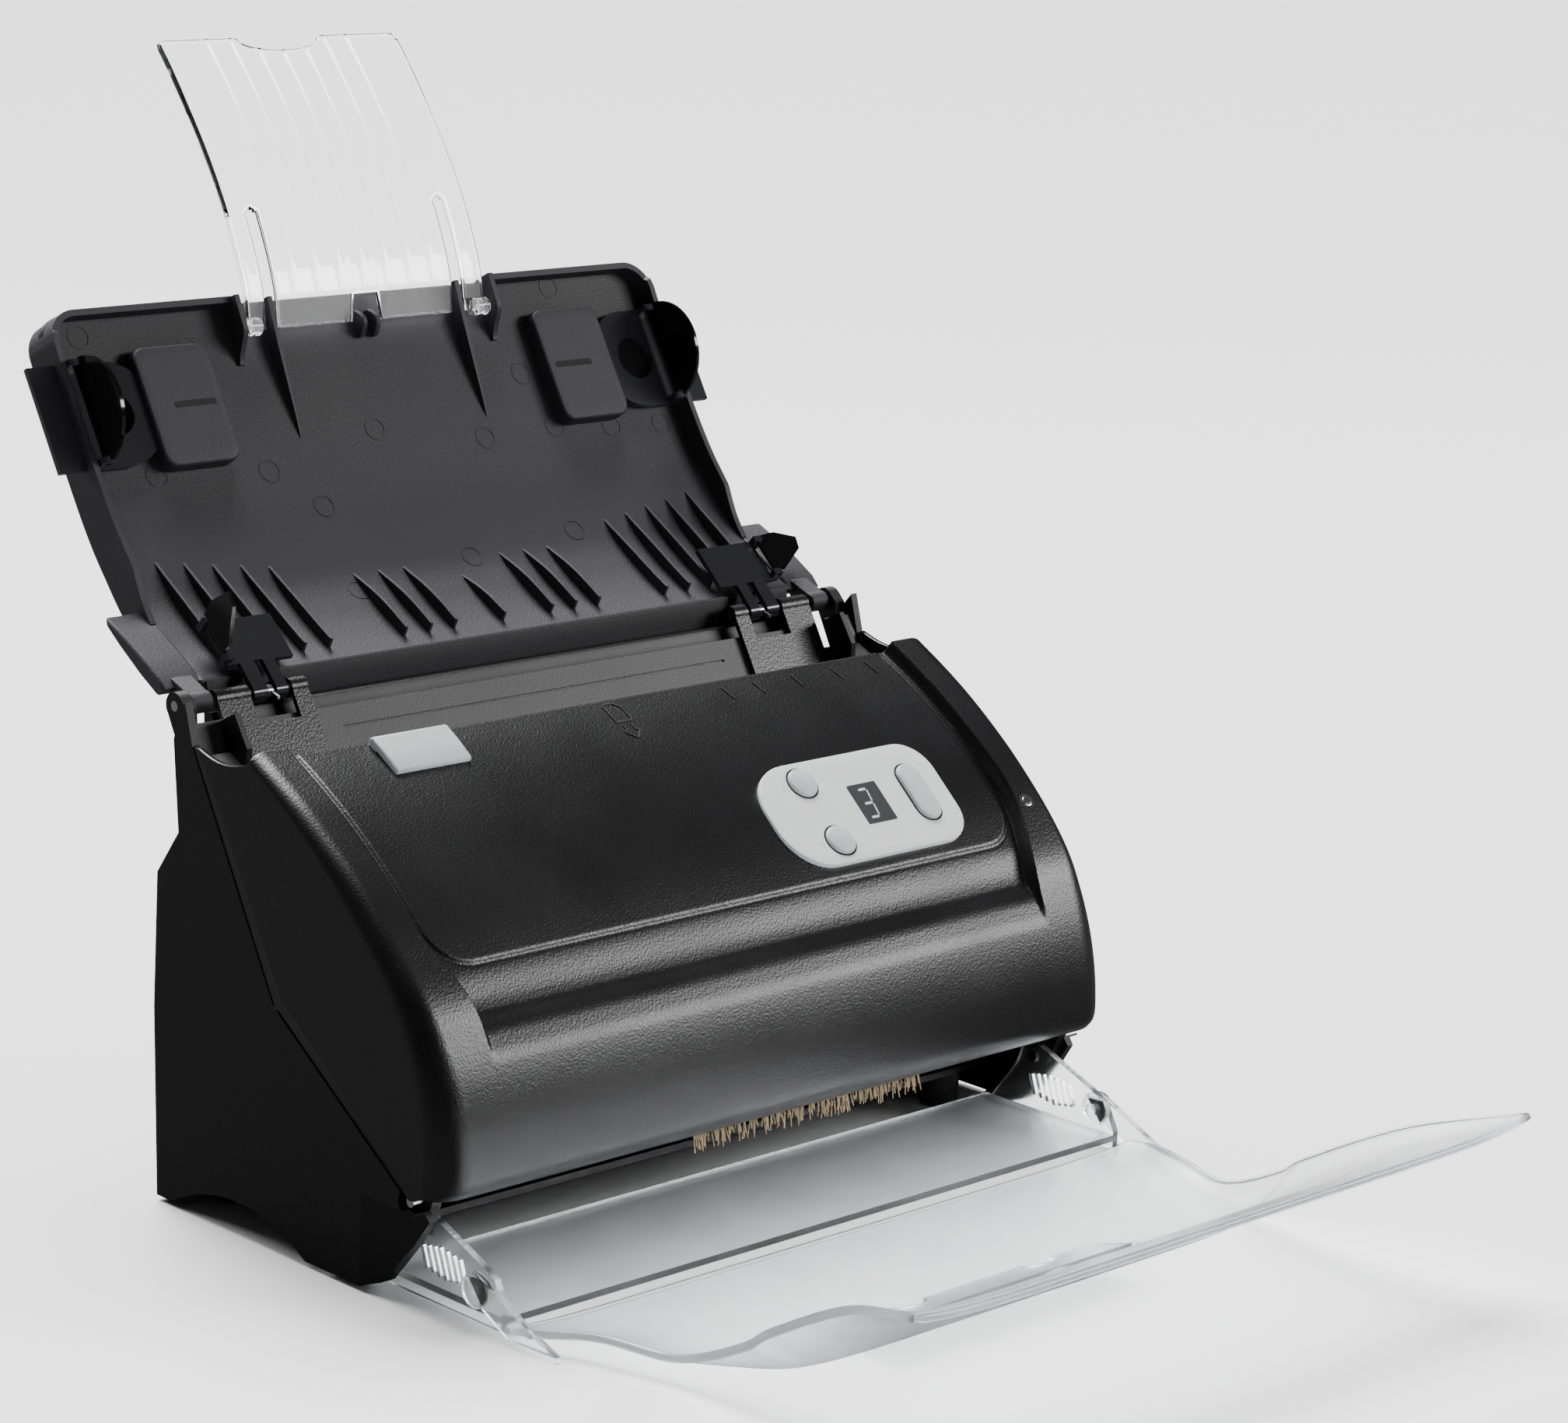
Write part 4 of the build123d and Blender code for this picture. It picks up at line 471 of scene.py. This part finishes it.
plate_piece("scan_button_cap", "scan_button", PLATE_PLACE,
            rounded_ring(8.9, 20.4, 4.4, centre=(24.4, 0.0)), -3.6, 2.1, 0.9, grey_abs, crown=0.5,
            replaces=("scan_button",))

# %% [markdown]
# The display shows one digit of seven bars. Each bar is a flat hexagon with mitred ends, and
# the digit leans a little, so the bars' places are sheared by height. Two small triangles
# point up and down beside the round buttons.

# %% Digit and arrow marks
SEGMENTS = {"a": ((-2.6, 5.0), (2.6, 5.0)), "b": ((2.8, 4.8), (2.8, 0.2)),
            "c": ((2.8, -0.2), (2.8, -4.8)), "d": ((-2.6, -5.0), (2.6, -5.0)),
            "g": ((-2.6, 0.0), (2.6, 0.0))}
digit_points, digit_faces = [], []
for start, end in SEGMENTS.values():
    start, end = np.array(start), np.array(end)
    run = (end - start) / np.linalg.norm(end - start)
    side = np.array([-run[1], run[0]]) * 0.42
    hexagon = np.array([start, start + run * 0.6 + side, end - run * 0.6 + side, end,
                        end - run * 0.6 - side, start + run * 0.6 - side])
    hexagon[:, 0] = 0.62 * hexagon[:, 0] + 0.12 * hexagon[:, 1] + 3.0
    hexagon[:, 1] -= 0.3
    base = len(digit_points)
    for lift in (1.0, 1.12):
        digit_points += [(x, y, lift) for x, y in hexagon]
    digit_faces += [tuple(base + k for k in range(6)), tuple(base + 6 + k for k in range(6))[::-1]]
    digit_faces += [(base + k, base + 6 + k, base + 6 + (k + 1) % 6, base + (k + 1) % 6)
                    for k in range(6)]
make_piece("display_digit", "front_cover", on_plane(PLATE_PLACE, digit_points), digit_faces,
           segment_grey)
for name, tip, centre in (("mark_up", 1, (-24.2, 10.6)), ("mark_down", -1, (-23.4, -10.8))):
    corners = np.array([(0, 1.3 * tip), (-1.3, -1.1 * tip), (1.3, -1.1 * tip)]) + centre
    points = [(x, y, lift) for lift in (0.9, 1.0) for x, y in corners]
    faces = [(0, 1, 2), (5, 4, 3), (0, 3, 4, 1), (1, 4, 5, 2), (2, 5, 3, 0)]
    make_piece(name, "front_cover", on_plane(PLATE_PLACE, points), faces, segment_grey)

# %% [markdown]
# The release key is a pale cap that sits over the cover's top edge: a top that follows the
# panel, a square front lip and a softly rounded outline.

# %% Release key
KEY_SIDE = [(20.9, 126.5), (22.3, 127.0), (22.3, 138.0), (21.6, 139.2), (20.4, 139.5), (15.0, 136.4),
            (9.3, 132.6), (8.9, 131.8), (9.6, 130.7), (10.6, 130.9), (18.6, 135.6), (20.4, 134.9)]
extruded("release_key_cap", "release_key", [(KEY_SIDE, -89.0, -62.0)], grey_abs, 0.5,
         ("release_key",))

# %% [markdown]
# Marks for sheet widths and a sheet with an arrow stand up a little from the panel, as lines
# cut into the mould would leave them. Each is a thin ridge along a path of (x, y).

# %% Raised marks on the panel
def tubes_mesh(tubes):
    """Points and faces of several closed tubes, each given as rings of four corners."""
    points, faces = [], []
    for tube in tubes:
        base = len(points)
        points += tube.reshape(-1, 3).tolist()
        faces += (grid_faces(len(tube), 4, wrap=True) + base).tolist()
        faces += [[base + 3, base + 2, base + 1, base],
                  [base + 4 * len(tube) - 4 + k for k in range(4)]]
    return points, faces


def panel_line(path, lift=0.3, half=0.28):
    """Ridge along a path on the panel's arc: z is the circle's height at each y."""
    path = even(np.array(path, float), 24)
    run = np.gradient(path, axis=0)
    run /= np.linalg.norm(run, axis=1)[:, None]
    side = np.stack([-run[:, 1], run[:, 0]], 1) * half
    rings = []
    for offset, height in ((side, -0.4), (-side, -0.4), (-side * 0.6, lift), (side * 0.6, lift)):
        x, y = (path + offset).T
        out = PANEL_R + height
        rings.append(np.stack([x, y, PANEL_CENTRE[1] + (out ** 2 - (y - PANEL_CENTRE[0]) ** 2) ** 0.5], 1))
    return np.stack(rings, 1)


MARK_LINES = [[(x, 19.6), (x + 1.0, 14.4)] for x in (44.0, 57.0, 73.0, 90.0, 105.0)]
MARK_LINES += [[(-3.2, 13.6), (-3.2, 21.0), (1.2, 21.0), (3.0, 19.0), (3.0, 13.6), (-3.2, 13.6)],
               [(-2.0, 12.4), (-2.0, 10.0), (-3.6, 10.0), (-0.4, 6.8), (2.8, 10.0), (1.2, 10.0),
                (1.2, 12.4)]]
mark_points, mark_faces = tubes_mesh([panel_line(path) for path in MARK_LINES])
make_piece("panel_marks", "front_cover", mark_points, mark_faces, side_abs, flip=True)

# %% Screw in the right ridge
SCREW_PLACE = (np.array([121.4, -36.3, 100.2]), np.array([1.0, 0, 0]),
               np.array([0, 0.697, 0.717]), np.array([0, -0.717, 0.697]))
# The well round the screw head is a near-black disc: painted shade in the counterbore.
plate_piece("ridge_screw_well", "front_cover", SCREW_PLACE, rounded_ring(5.4, 5.4, 2.69), -2.0, 0.45,
            0.2, painted_shade_black)
plate_piece("ridge_screw_head", "front_cover", SCREW_PLACE, rounded_ring(3.6, 3.6, 1.79), -1.0, 0.75,
            0.3, steel, crown=0.15)
# The cross slot in the head is two near-black plates: painted shade in the slot.
for name, width, height in (("ridge_screw_slot_a", 2.4, 0.6), ("ridge_screw_slot_b", 0.6, 2.4)):
    plate_piece(name, "front_cover", SCREW_PLACE, rounded_ring(width, height, 0.1), 0.2, 0.97, 0.02,
                painted_shade_black)

# %% [markdown]
# The brush that drains static from the sheets hangs under the cover's lip. It is a holder
# with several hundred thin tan bristles, each leaning a little its own way. A seeded random
# generator gives the same bristles on every run.

# %% Brush
rng = np.random.default_rng(7)
BRISTLES = 300
BRISTLE_WIDTH = 0.22
BRUSH_Y = -56.6
BRUSH_TOP = 35.0
root_x = np.sort(rng.uniform(-33.5, 57.5, BRISTLES))
lean = rng.normal(0, 0.9, BRISTLES)
fall = rng.uniform(3.0, 9.5, BRISTLES)
corner = np.array([(-1, -1), (1, -1), (1, 1), (-1, 1)]) * BRISTLE_WIDTH / 2
levels = np.array([0.0, 0.5, 1.0])
bend = levels ** 2
bx = root_x[:, None, None] + lean[:, None, None] * bend[None, :, None] + corner[None, None, :, 0]
by = (BRUSH_Y - 0.8 * bend)[None, :, None] + corner[None, None, :, 1] + 0 * bx
bz = BRUSH_TOP - fall[:, None, None] * levels[None, :, None] + 0 * bx
strand = np.stack([bx, by, bz], -1).reshape(-1, 3)
one = [(0, 1, 2, 3), (11, 10, 9, 8)]
one += [(4 * r + k, 4 * r + 4 + k, 4 * r + 4 + (k + 1) % 4, 4 * r + (k + 1) % 4)
        for r in range(2) for k in range(4)]
brush_faces = (np.array([list(f) for f in one])[None] + 12 * np.arange(BRISTLES)[:, None, None])
make_piece("brush_bristles", "front_cover", strand, brush_faces.reshape(-1, 4).tolist(), bristle,
           ("antistatic_brush",))
extruded("brush_holder", "front_cover",
         [([(-59.4, 34.6), (-54.2, 35.2), (-54.2, 39.6), (-61.4, 39.6)], -34.0, 58.0)], black_abs)


# %% [markdown]
# The chute is a dished sheet of coarse grained plastic with a rim round its free edges.
# Everything that stands on it (rims, cheeks, rails, ribs, ejector marks) is a thin wall along
# a path on the sheet. A place on the sheet is x across and s along, and a wall goes from one
# height above the sheet to another.

# %% Chute sheet
CHUTE_LINE = [(64.6, 150.8), (74.2, 155.4), (83.5, 160.6), (94.0, 167.9), (103.5, 178.3),
              (111.5, 188.3), (122.0, 204.5), (134.5, 225.5), (144.3, 244.2)]
CHUTE_HALF = 117.0
face = smooth_line(CHUTE_LINE, 240)
face_up = left_normals(face)
face_s = np.r_[0, np.cumsum(np.linalg.norm(np.diff(face, axis=0), axis=1))]
CHUTE_LENGTH = float(face_s[-1])


def on_chute(x, s, height):
    """Point over the sheet: the side-view line at length s, raised along its normal."""
    x, s, height = np.broadcast_arrays(x, s, height)
    y = np.interp(s, face_s, face[:, 0]) + np.interp(s, face_s, face_up[:, 0]) * height
    z = np.interp(s, face_s, face[:, 1]) + np.interp(s, face_s, face_up[:, 1]) * height
    return np.stack([x, y, z], -1)


def s_at(z):
    """Length along the sheet at a height."""
    return float(np.interp(z, face[:, 1], face_s))


CORNER = 9.0
NOTCH = 48.6
NOTCH_S = s_at(243.4)


def wall_points(path, low, high, half):
    """Four corner lines of a wall along a path of (x, s): both sides at both heights."""
    path = np.asarray(path, float)
    run = np.gradient(path, axis=0)
    run /= np.linalg.norm(run, axis=1)[:, None]
    side = np.stack([-run[:, 1], run[:, 0]], 1) * np.reshape(half, (-1, 1))
    low = np.broadcast_to(low, len(path))
    high = np.broadcast_to(high, len(path))
    left, right = path + side, path - side
    return np.stack([on_chute(left[:, 0], left[:, 1], low), on_chute(right[:, 0], right[:, 1], low),
                     on_chute(right[:, 0], right[:, 1], high),
                     on_chute(left[:, 0], left[:, 1], high)], 1)


def walls_piece(name, walls, material, bevel=0.35):
    """Several walls on the chute as one piece, each a closed four sided tube."""
    points, faces = tubes_mesh([wall_points(*wall) for wall in walls])
    return make_piece(name, "feed_chute", points, faces, material, bevel=bevel, flip=True)


sheet_x = np.linspace(-1, 1, 161)[None, :]
sheet_s = np.linspace(0, 1, 140)[:, None]
flat_x = sheet_x * (CHUTE_HALF - 1.0)
near_side = np.clip(np.abs(flat_x) - (CHUTE_HALF - CORNER), 0, CORNER)
corner_drop = CORNER - (CORNER ** 2 - near_side ** 2) ** 0.5
notch_drop = (CHUTE_LENGTH - NOTCH_S) * (np.abs(flat_x) < NOTCH)
sheet_end = CHUTE_LENGTH - np.maximum(corner_drop, notch_drop)
sheet = on_chute(flat_x, sheet_s * sheet_end, 0.0)
make_piece("chute_sheet", "feed_chute", sheet.reshape(-1, 3),
           grid_faces(*sheet.shape[:2])[:, ::-1], chute_abs, ("feed_chute",), wall=2.2, flip=True)

# %% Chute rims, cheeks, rails, catch and ribs
rim_bottom = s_at(163.0)
side_run = np.linspace(rim_bottom, CHUTE_LENGTH - CORNER, 60)
quarter = np.linspace(0, np.pi / 2, 14)[1:]
edge_x = np.r_[np.full(60, CHUTE_HALF - 1.0),
               CHUTE_HALF - 1.0 - CORNER * (1 - np.cos(quarter)), np.linspace(100, NOTCH + 1.0, 20)]
edge_s = np.r_[side_run, CHUTE_LENGTH - 1.0 - CORNER * (1 - np.sin(quarter)),
               np.full(20, CHUTE_LENGTH - 1.0)]
edge = np.stack([edge_x, edge_s], 1)
rim_high = np.clip((edge_s - rim_bottom) / 18.0, 0, 1) * 5.6 + 0.6
rim_high = np.where(edge_x < CHUTE_HALF - 2, 5.2, rim_high)
walls = []
for sign in (-1, 1):
    rim = edge * np.array([sign, 1])
    walls.append((rim, -8.0, rim_high, 1.0))
    cheek_s = np.linspace(s_at(226.0), CHUTE_LENGTH - 0.4, 24)
    cheek = np.stack([np.full(24, sign * (NOTCH + 0.9)), cheek_s], 1)
    share = np.linspace(0, 1, 24)
    walls.append((cheek, -2.0, 1.0 + 6.6 * step(0, 0.5, share), 0.9))
    rail_s = np.linspace(s_at(204.5), s_at(243.0), 40)
    rail = np.stack([np.full(40, sign * 36.5), rail_s], 1)
    walls.append((rail, -1.0, 6.0 * np.linspace(0, 1, 40) ** 0.75, 0.25 + 0.65 * np.linspace(0, 1, 40)))
walls_piece("chute_rims", walls, chute_abs, bevel=0.5)

RIB_FOOT = np.array([66.4, 152.6])


def rib(x, tip_z, bow):
    """A standing rib: its crest is the chord from its tip to the sheet's foot, bowed a little."""
    s = np.linspace(s_at(153.2), s_at(tip_z), 30)
    ground = on_chute(x, s, 0.0)[:, 1:]
    chord = RIB_FOOT + (ground[-1] - RIB_FOOT) * np.linspace(0, 1, 30)[:, None]
    rise = np.linalg.norm(chord - ground, axis=1) + bow * np.sin(np.linspace(0, np.pi, 30))
    return np.stack([np.full(30, x), s], 1), -0.6, rise + 0.05, 0.55


ribs = []
for sign in (-1, 1):
    for index in range(5):
        ribs.append(rib(sign * (104.0 - 9.5 * index), 177.5 - 1.2 * index, 0.5))
    for index in range(3):
        ribs.append(rib(sign * (38.0 - 9.5 * index), 168.0, 1.4))
ribs.append(rib(0.0, 164.0, 1.2))
walls_piece("chute_ribs", ribs, chute_abs, bevel=0.2)

finger_s = np.linspace(s_at(230.5), s_at(238.0), 16)
finger_high = 1.0 + 4.2 * np.sin(np.linspace(0.2, 2.9, 16))
walls_piece("chute_catch", [(np.stack([np.full(16, x), finger_s], 1), -1.0, finger_high, 0.9)
                            for x in (-2.6, 2.6)], chute_abs, bevel=0.3)

# %% Ejector marks: faint rings where pins pushed the moulding out of its mould
MARKS = [(-104, 212.0), (-92, 199.0), (-67, 232.0), (-52, 197.0), (-8, 205.0), (-37, 186.0),
         (33, 199.0), (56, 216.0), (62, 200.0), (85, 198.0), (106, 197.0), (8, 168.0),
         (-40, 164.0), (52, 171.0), (78, 240.0), (-104, 238.0)]
around = np.linspace(0, 2 * np.pi, 41)
ring_walls = []
for x, z in MARKS:
    path = np.stack([x + 3.5 * np.cos(around), s_at(z) + 3.5 * np.sin(around)], 1)
    ring_walls.append((path, -0.3, 0.14, 0.22))
walls_piece("chute_ejector_marks", ring_walls, chute_abs, bevel=0.0)

# %% Raised pads with their slots, and the wings beside the hinge
PAD_ANGLE = np.arctan2(20.5, 12.5)
PAD_UP = np.array([0, np.cos(PAD_ANGLE), np.sin(PAD_ANGLE)])
PAD_OUT = np.array([0, -np.sin(PAD_ANGLE), np.cos(PAD_ANGLE)])
for side, sign in (("left", -1), ("right", 1)):
    place = (np.array([sign * 77.0, 124.4, 218.5]), np.array([1.0, 0, 0]), PAD_UP, PAD_OUT)
    plate_piece(f"chute_pad_{side}", "feed_chute", place, rounded_ring(27.0, 38.0, 4.0), -6.6, 0.0,
                1.0, chute_abs)
    # Each pad's slot is a near-black plate on the pad: painted shade in the opening.
    slot_ring = rounded_ring(15.0, 2.0, 0.3, centre=(-sign * 3.0, 0.0))
    plate_piece(f"chute_pad_slot_{side}", "feed_chute", place, slot_ring, -1.5, 0.04, 0.02,
                painted_shade_black)
WING = [(64.2, 149.6), (67.5, 153.0), (75.0, 157.3), (83.2, 161.5), (93.2, 165.9), (92.6, 163.4),
        (86.1, 158.6), (76.5, 152.4), (68.0, 147.6)]
BARREL_LINK = [(59.0, 143.4), (66.0, 146.4), (70.0, 151.5), (66.5, 152.6), (59.0, 149.6)]
angle24 = np.linspace(0, 2 * np.pi, 33)[:-1]
BARREL = np.stack([59.0 + 3.2 * np.cos(angle24), 146.5 + 3.2 * np.sin(angle24)], 1)
FOOT = [(64.6, 150.9), (64.0, 147.6), (64.6, 141.0), (65.8, 141.0), (65.9, 147.2), (66.3, 149.6)]
extruded("chute_foot_flange", "feed_chute", [(FOOT, -114.0, 114.0)], chute_abs, 0.3)
SILL = [(58.6, 136.0), (64.2, 136.0), (64.2, 142.5), (60.6, 142.5), (58.6, 139.2)]
extruded("rear_sill", "base", [(SILL, -115.0, 115.0)], side_abs, 0.3)
extruded("chute_wings", "feed_chute", [(WING, -128.5, -115.0), (WING, 115.0, 128.5)], chute_abs, 0.8)
extruded("chute_barrels", "feed_chute",
         [(shape, x, x + 7.0) for shape in (BARREL_LINK, BARREL) for x in (-124.6, 117.6)],
         chute_abs, 0.4)


# %% [markdown]
# The extender is a clear curved sheet. Seven fine ridges run down it, two slots with round
# tops clear the chute's rails, and its top edge has a shallow thumb recess. The sheet's end is
# a function of x, so the recess needs no cutting.

# %% Extender
EXT_LINE = [(136.3, 236.0), (138.0, 247.0), (142.3, 259.0), (148.9, 272.5), (157.6, 286.5),
            (167.6, 300.0), (176.4, 311.0), (183.4, 318.8)]
ext = smooth_line(EXT_LINE, 150)
ext_up = left_normals(ext)
ext_s = np.r_[0, np.cumsum(np.linalg.norm(np.diff(ext, axis=0), axis=1))]


def on_extender(x, s, height):
    """Point over the extender's sheet, as on the chute."""
    x, s, height = np.broadcast_arrays(x, s, height)
    y = np.interp(s, ext_s, ext[:, 0]) + np.interp(s, ext_s, ext_up[:, 0]) * height
    z = np.interp(s, ext_s, ext[:, 1]) + np.interp(s, ext_s, ext_up[:, 1]) * height
    return np.stack([x, y, z], -1)


EXT_HALF = 46.0
ext_x = np.unique(np.r_[np.linspace(-EXT_HALF, EXT_HALF, 93), [-39, -34, 34, 39, -5, 5]])[None, :]
thumb = 5.0 * np.clip(1 - (ext_x / 16.0) ** 2, 0, 1) ** 0.5
side_round = 3.0 - (9.0 - np.clip(np.abs(ext_x) - (EXT_HALF - 3.0), 0, 3.0) ** 2) ** 0.5
ext_end = ext_s[-1] - thumb - side_round
catch_notch = 8.5 * (np.abs(ext_x) < 6.0)
ext_t = np.linspace(0, 1, 120)[:, None]
ext_place = catch_notch + ext_t * (ext_end - catch_notch)
ridge_x = np.linspace(-27.0, 27.0, 7)
ridge = 0.3 * np.exp(-((ext_x[..., None] - ridge_x) / 0.5) ** 2).sum(-1)
frame_edge = 0.5 * step(EXT_HALF - 2.2, EXT_HALF - 1.6, np.abs(ext_x))
ext_grid = on_extender(ext_x, ext_place, ridge + frame_edge + 0 * ext_place)
quads = grid_faces(*ext_grid.shape[:2])
mid_x = (ext_x[0, :-1] + ext_x[0, 1:]) / 2
mid_s = (ext_place[:-1, :-1] + ext_place[1:, 1:]) / 2
slot_top = 38.0 - np.abs(np.abs(mid_x) - 36.5) ** 2 * 0.3
in_slot = (np.abs(np.abs(mid_x) - 36.5)[None, :] < 2.5) & (mid_s < slot_top[None, :])
quads = quads[~in_slot.reshape(-1)]
make_piece("extender_sheet", "chute_extender", ext_grid.reshape(-1, 3), quads, clear_sheet,
           ("chute_extender",), wall=1.6)
knuckle = np.stack([136.4 + 2.8 * np.cos(angle24), 237.2 + 2.8 * np.sin(angle24)], 1)
extruded("extender_knuckles", "chute_extender", [(knuckle, -47.0, -42.0), (knuckle, 42.0, 47.0)],
         clear_sheet, 0.3)


# %% [markdown]
# The output tray is one clear moulding with a haze. Its floor runs flat, then sweeps up to a
# rolled front rim. Its sides stand a little higher than its middle. Half the width is a
# function of the depth, and the sides are raised by a high power of the place across.

# %% Output tray
TRAY_MIDDLE = [(-84.0, 0.9), (-115.0, 0.9), (-146.0, 1.6), (-160.0, 6.3), (-180.0, 19.5),
               (-205.0, 35.0), (-229.6, 47.2)]
TRAY_SIDE = [(-84.0, 2.4), (-109.0, 6.2), (-134.0, 6.4), (-156.6, 16.3), (-166.0, 23.0),
             (-197.6, 39.8), (-229.6, 50.0)]
TRAY_HALF = [(-84.0, 124.2), (-96.0, 121.0), (-111.0, 114.6), (-143.0, 107.0), (-175.0, 107.6),
             (-200.0, 112.0), (-218.0, 117.5), (-229.6, 122.0)]
tray_y = np.linspace(-84.0, -229.6, 170)


def by_depth(points):
    """Smooth value at each depth of the tray from a few (depth, value) pairs."""
    line = smooth_line(points, 400)
    return np.interp(-tray_y, -line[:, 0], line[:, 1])


middle_z, side_z, half_width = by_depth(TRAY_MIDDLE), by_depth(TRAY_SIDE), by_depth(TRAY_HALF)
share = np.linspace(-1, 1, 141)[None, :]
lift = np.abs(share) ** 9
tray_z = middle_z[:, None] + (side_z - middle_z)[:, None] * lift
tray_grid = np.stack([share * half_width[:, None], tray_y[:, None] + 0 * share, tray_z], -1)
make_piece("output_tray_sheet", "outer_tray", tray_grid.reshape(-1, 3),
           grid_faces(*tray_grid.shape[:2])[:, ::-1], frosted_tray, ("outer_tray",), wall=1.6,
           flip=True)

# %% Rolled rims of the tray: a round bead carried along its edge
edge_line = np.concatenate([tray_grid[8::4, 0], tray_grid[-1, 1:-1:3], tray_grid[:7:-4, -1]])
edge_line = even(edge_line, 220)
edge_run = np.gradient(edge_line, axis=0)
edge_run /= np.linalg.norm(edge_run, axis=1)[:, None]
bead_side = np.cross(edge_run, [0, 0, 1.0])
bead_side /= np.linalg.norm(bead_side, axis=1)[:, None]
bead_up = np.cross(bead_side, edge_run)
round_angle = np.linspace(0, 2 * np.pi, 13)[:-1][None, :, None]
BEAD_R = 1.2
bead = (edge_line[:, None] + BEAD_R * (bead_side[:, None] * np.cos(round_angle)
                                       + bead_up[:, None] * np.sin(round_angle)))
bead[..., 2] += 0.6
bead_faces = grid_faces(220, 12, wrap=True).tolist()
bead_faces += [list(range(12))[::-1], list(range(219 * 12, 220 * 12))]
make_piece("output_tray_rim", "outer_tray", bead.reshape(-1, 3), bead_faces, frosted_tray,
           flip=True)

# %% Ears of the tray
EAR = [(-66.8, 13.9), (-74.0, 14.2), (-96.0, 4.4), (-104.0, 1.6), (-84.0, 0.8), (-73.0, 6.3)]
EAR_RING = np.stack([-70.3 + 5.0 * np.cos(angle24), 10.5 + 5.0 * np.sin(angle24)], 1)
EAR_PIN = np.stack([-70.3 + 2.0 * np.cos(angle24), 10.5 + 2.0 * np.sin(angle24)], 1)
extruded("output_tray_ears", "outer_tray",
         [(EAR, 122.5, 124.7), (EAR, -124.7, -122.5), (EAR_RING, 122.5, 124.9),
          (EAR_RING, -124.9, -122.5), (EAR_PIN, 119.8, 122.6), (EAR_PIN, -122.6, -119.8)],
         frosted_tray, 0.3)

# %% [markdown]
# The camera stands to the left and in front, a long way off with a long lens, so the lines
# hardly converge. An even light from above whitens the floor, a soft box in front and to the
# right draws the bright band along the bulge, and one behind lights the edges. The room is dark
# for reflections and white where it is looked at, and the floor is a dark card for reflections,
# so the sides of the scanner stay black.

# %% Camera
camera_data = bpy.data.cameras.new("camera")
camera_data.lens = 99.07
camera_data.sensor_width = 36.0
camera_data.clip_end = 20.0
camera = bpy.data.objects.new("camera", camera_data)
right = np.array([0.72143, -0.69164, 0.03440])
up = np.array([0.13468, 0.18886, 0.97272])
forward = np.array([0.67927, 0.69712, -0.22940])
place = Matrix(np.column_stack([right, up, -forward]).tolist()).to_4x4()
place.translation = (-0.8267, -0.9016, 0.4281)
camera.matrix_world = place
bpy.context.scene.collection.objects.link(camera)
bpy.context.scene.camera = camera

# %% Floor and light
floor_material, floor_tree, floor_out = start_material("pale_paper_floor")
bounce = add(floor_tree, "ShaderNodeLightPath")
paper = add(floor_tree, "ShaderNodeBsdfDiffuse", {"Color": colour("#f4f4f4")})
card = add(floor_tree, "ShaderNodeBsdfDiffuse", {"Color": colour("#4a4a4a")})
mirrored = add(floor_tree, "ShaderNodeMath", {"operation": "SUBTRACT", "use_clamp": True})
floor_tree.links.new(bounce.outputs["Is Glossy Ray"], mirrored.inputs[0])
floor_tree.links.new(bounce.outputs["Is Transmission Ray"], mirrored.inputs[1])
blend = add(floor_tree, "ShaderNodeMixShader", None, {"Fac": mirrored.outputs[0]})
floor_tree.links.new(paper.outputs[0], blend.inputs[1])
floor_tree.links.new(card.outputs[0], blend.inputs[2])
floor_tree.links.new(blend.outputs[0], floor_out.inputs["Surface"])
floor_mesh = bpy.data.meshes.new("floor")
floor_mesh.from_pydata([(-6, -6, 0), (6, -6, 0), (6, 6, 0), (-6, 6, 0)], [], [(0, 1, 2, 3)])
floor_mesh.materials.append(floor_material)
floor = bpy.data.objects.new("floor", floor_mesh)
bpy.context.scene.collection.objects.link(floor)

ROOM_LEVEL = 0.05
BACKDROP_LEVEL = 4.0
world = bpy.data.worlds.new("studio")
world.use_nodes = True
world.node_tree.nodes.clear()
ray = add(world.node_tree, "ShaderNodeLightPath")
seen = add(world.node_tree, "ShaderNodeMath", {"operation": "MAXIMUM"})
world.node_tree.links.new(ray.outputs["Is Camera Ray"], seen.inputs[0])
world.node_tree.links.new(ray.outputs["Is Transmission Ray"], seen.inputs[1])
strength = add(world.node_tree, "ShaderNodeMapRange", {"To Min": ROOM_LEVEL, "To Max": BACKDROP_LEVEL},
               {"Value": seen.outputs[0]})
sky = add(world.node_tree, "ShaderNodeBackground", {"Color": (1, 1, 1, 1)},
          {"Strength": strength.outputs["Result"]})
add(world.node_tree, "ShaderNodeOutputWorld", None, {"Surface": sky.outputs[0]})
bpy.context.scene.world = world


def soft_box(name, spot, target, size, power):
    """A rectangular area light that faces a target."""
    data = bpy.data.lights.new(name, "AREA")
    data.shape = "RECTANGLE"
    data.size, data.size_y = size
    data.energy = power
    lamp = bpy.data.objects.new(name, data)
    away = np.array(spot, float) - np.array(target, float)
    away /= np.linalg.norm(away)
    side = np.cross([0, 0, 1.0], away)
    side /= np.linalg.norm(side)
    matrix = Matrix(np.column_stack([side, np.cross(away, side), away]).tolist()).to_4x4()
    matrix.translation = spot
    lamp.matrix_world = matrix
    bpy.context.scene.collection.objects.link(lamp)


soft_box("front_box", (1.5, -1.34, 0.95), (0, 0, 0.1), (1.1, 0.45), 34)
soft_box("back_box", (-0.5, 1.6, 1.3), (0, 0, 0.2), (1.0, 0.6), 20)
sun_data = bpy.data.lights.new("even_top_light", "SUN")
sun_data.energy = 9.0
sun_data.angle = radians(35)
sun = bpy.data.objects.new("even_top_light", sun_data)
sun.rotation_euler = (radians(-27), radians(10), 0)
bpy.context.scene.collection.objects.link(sun)
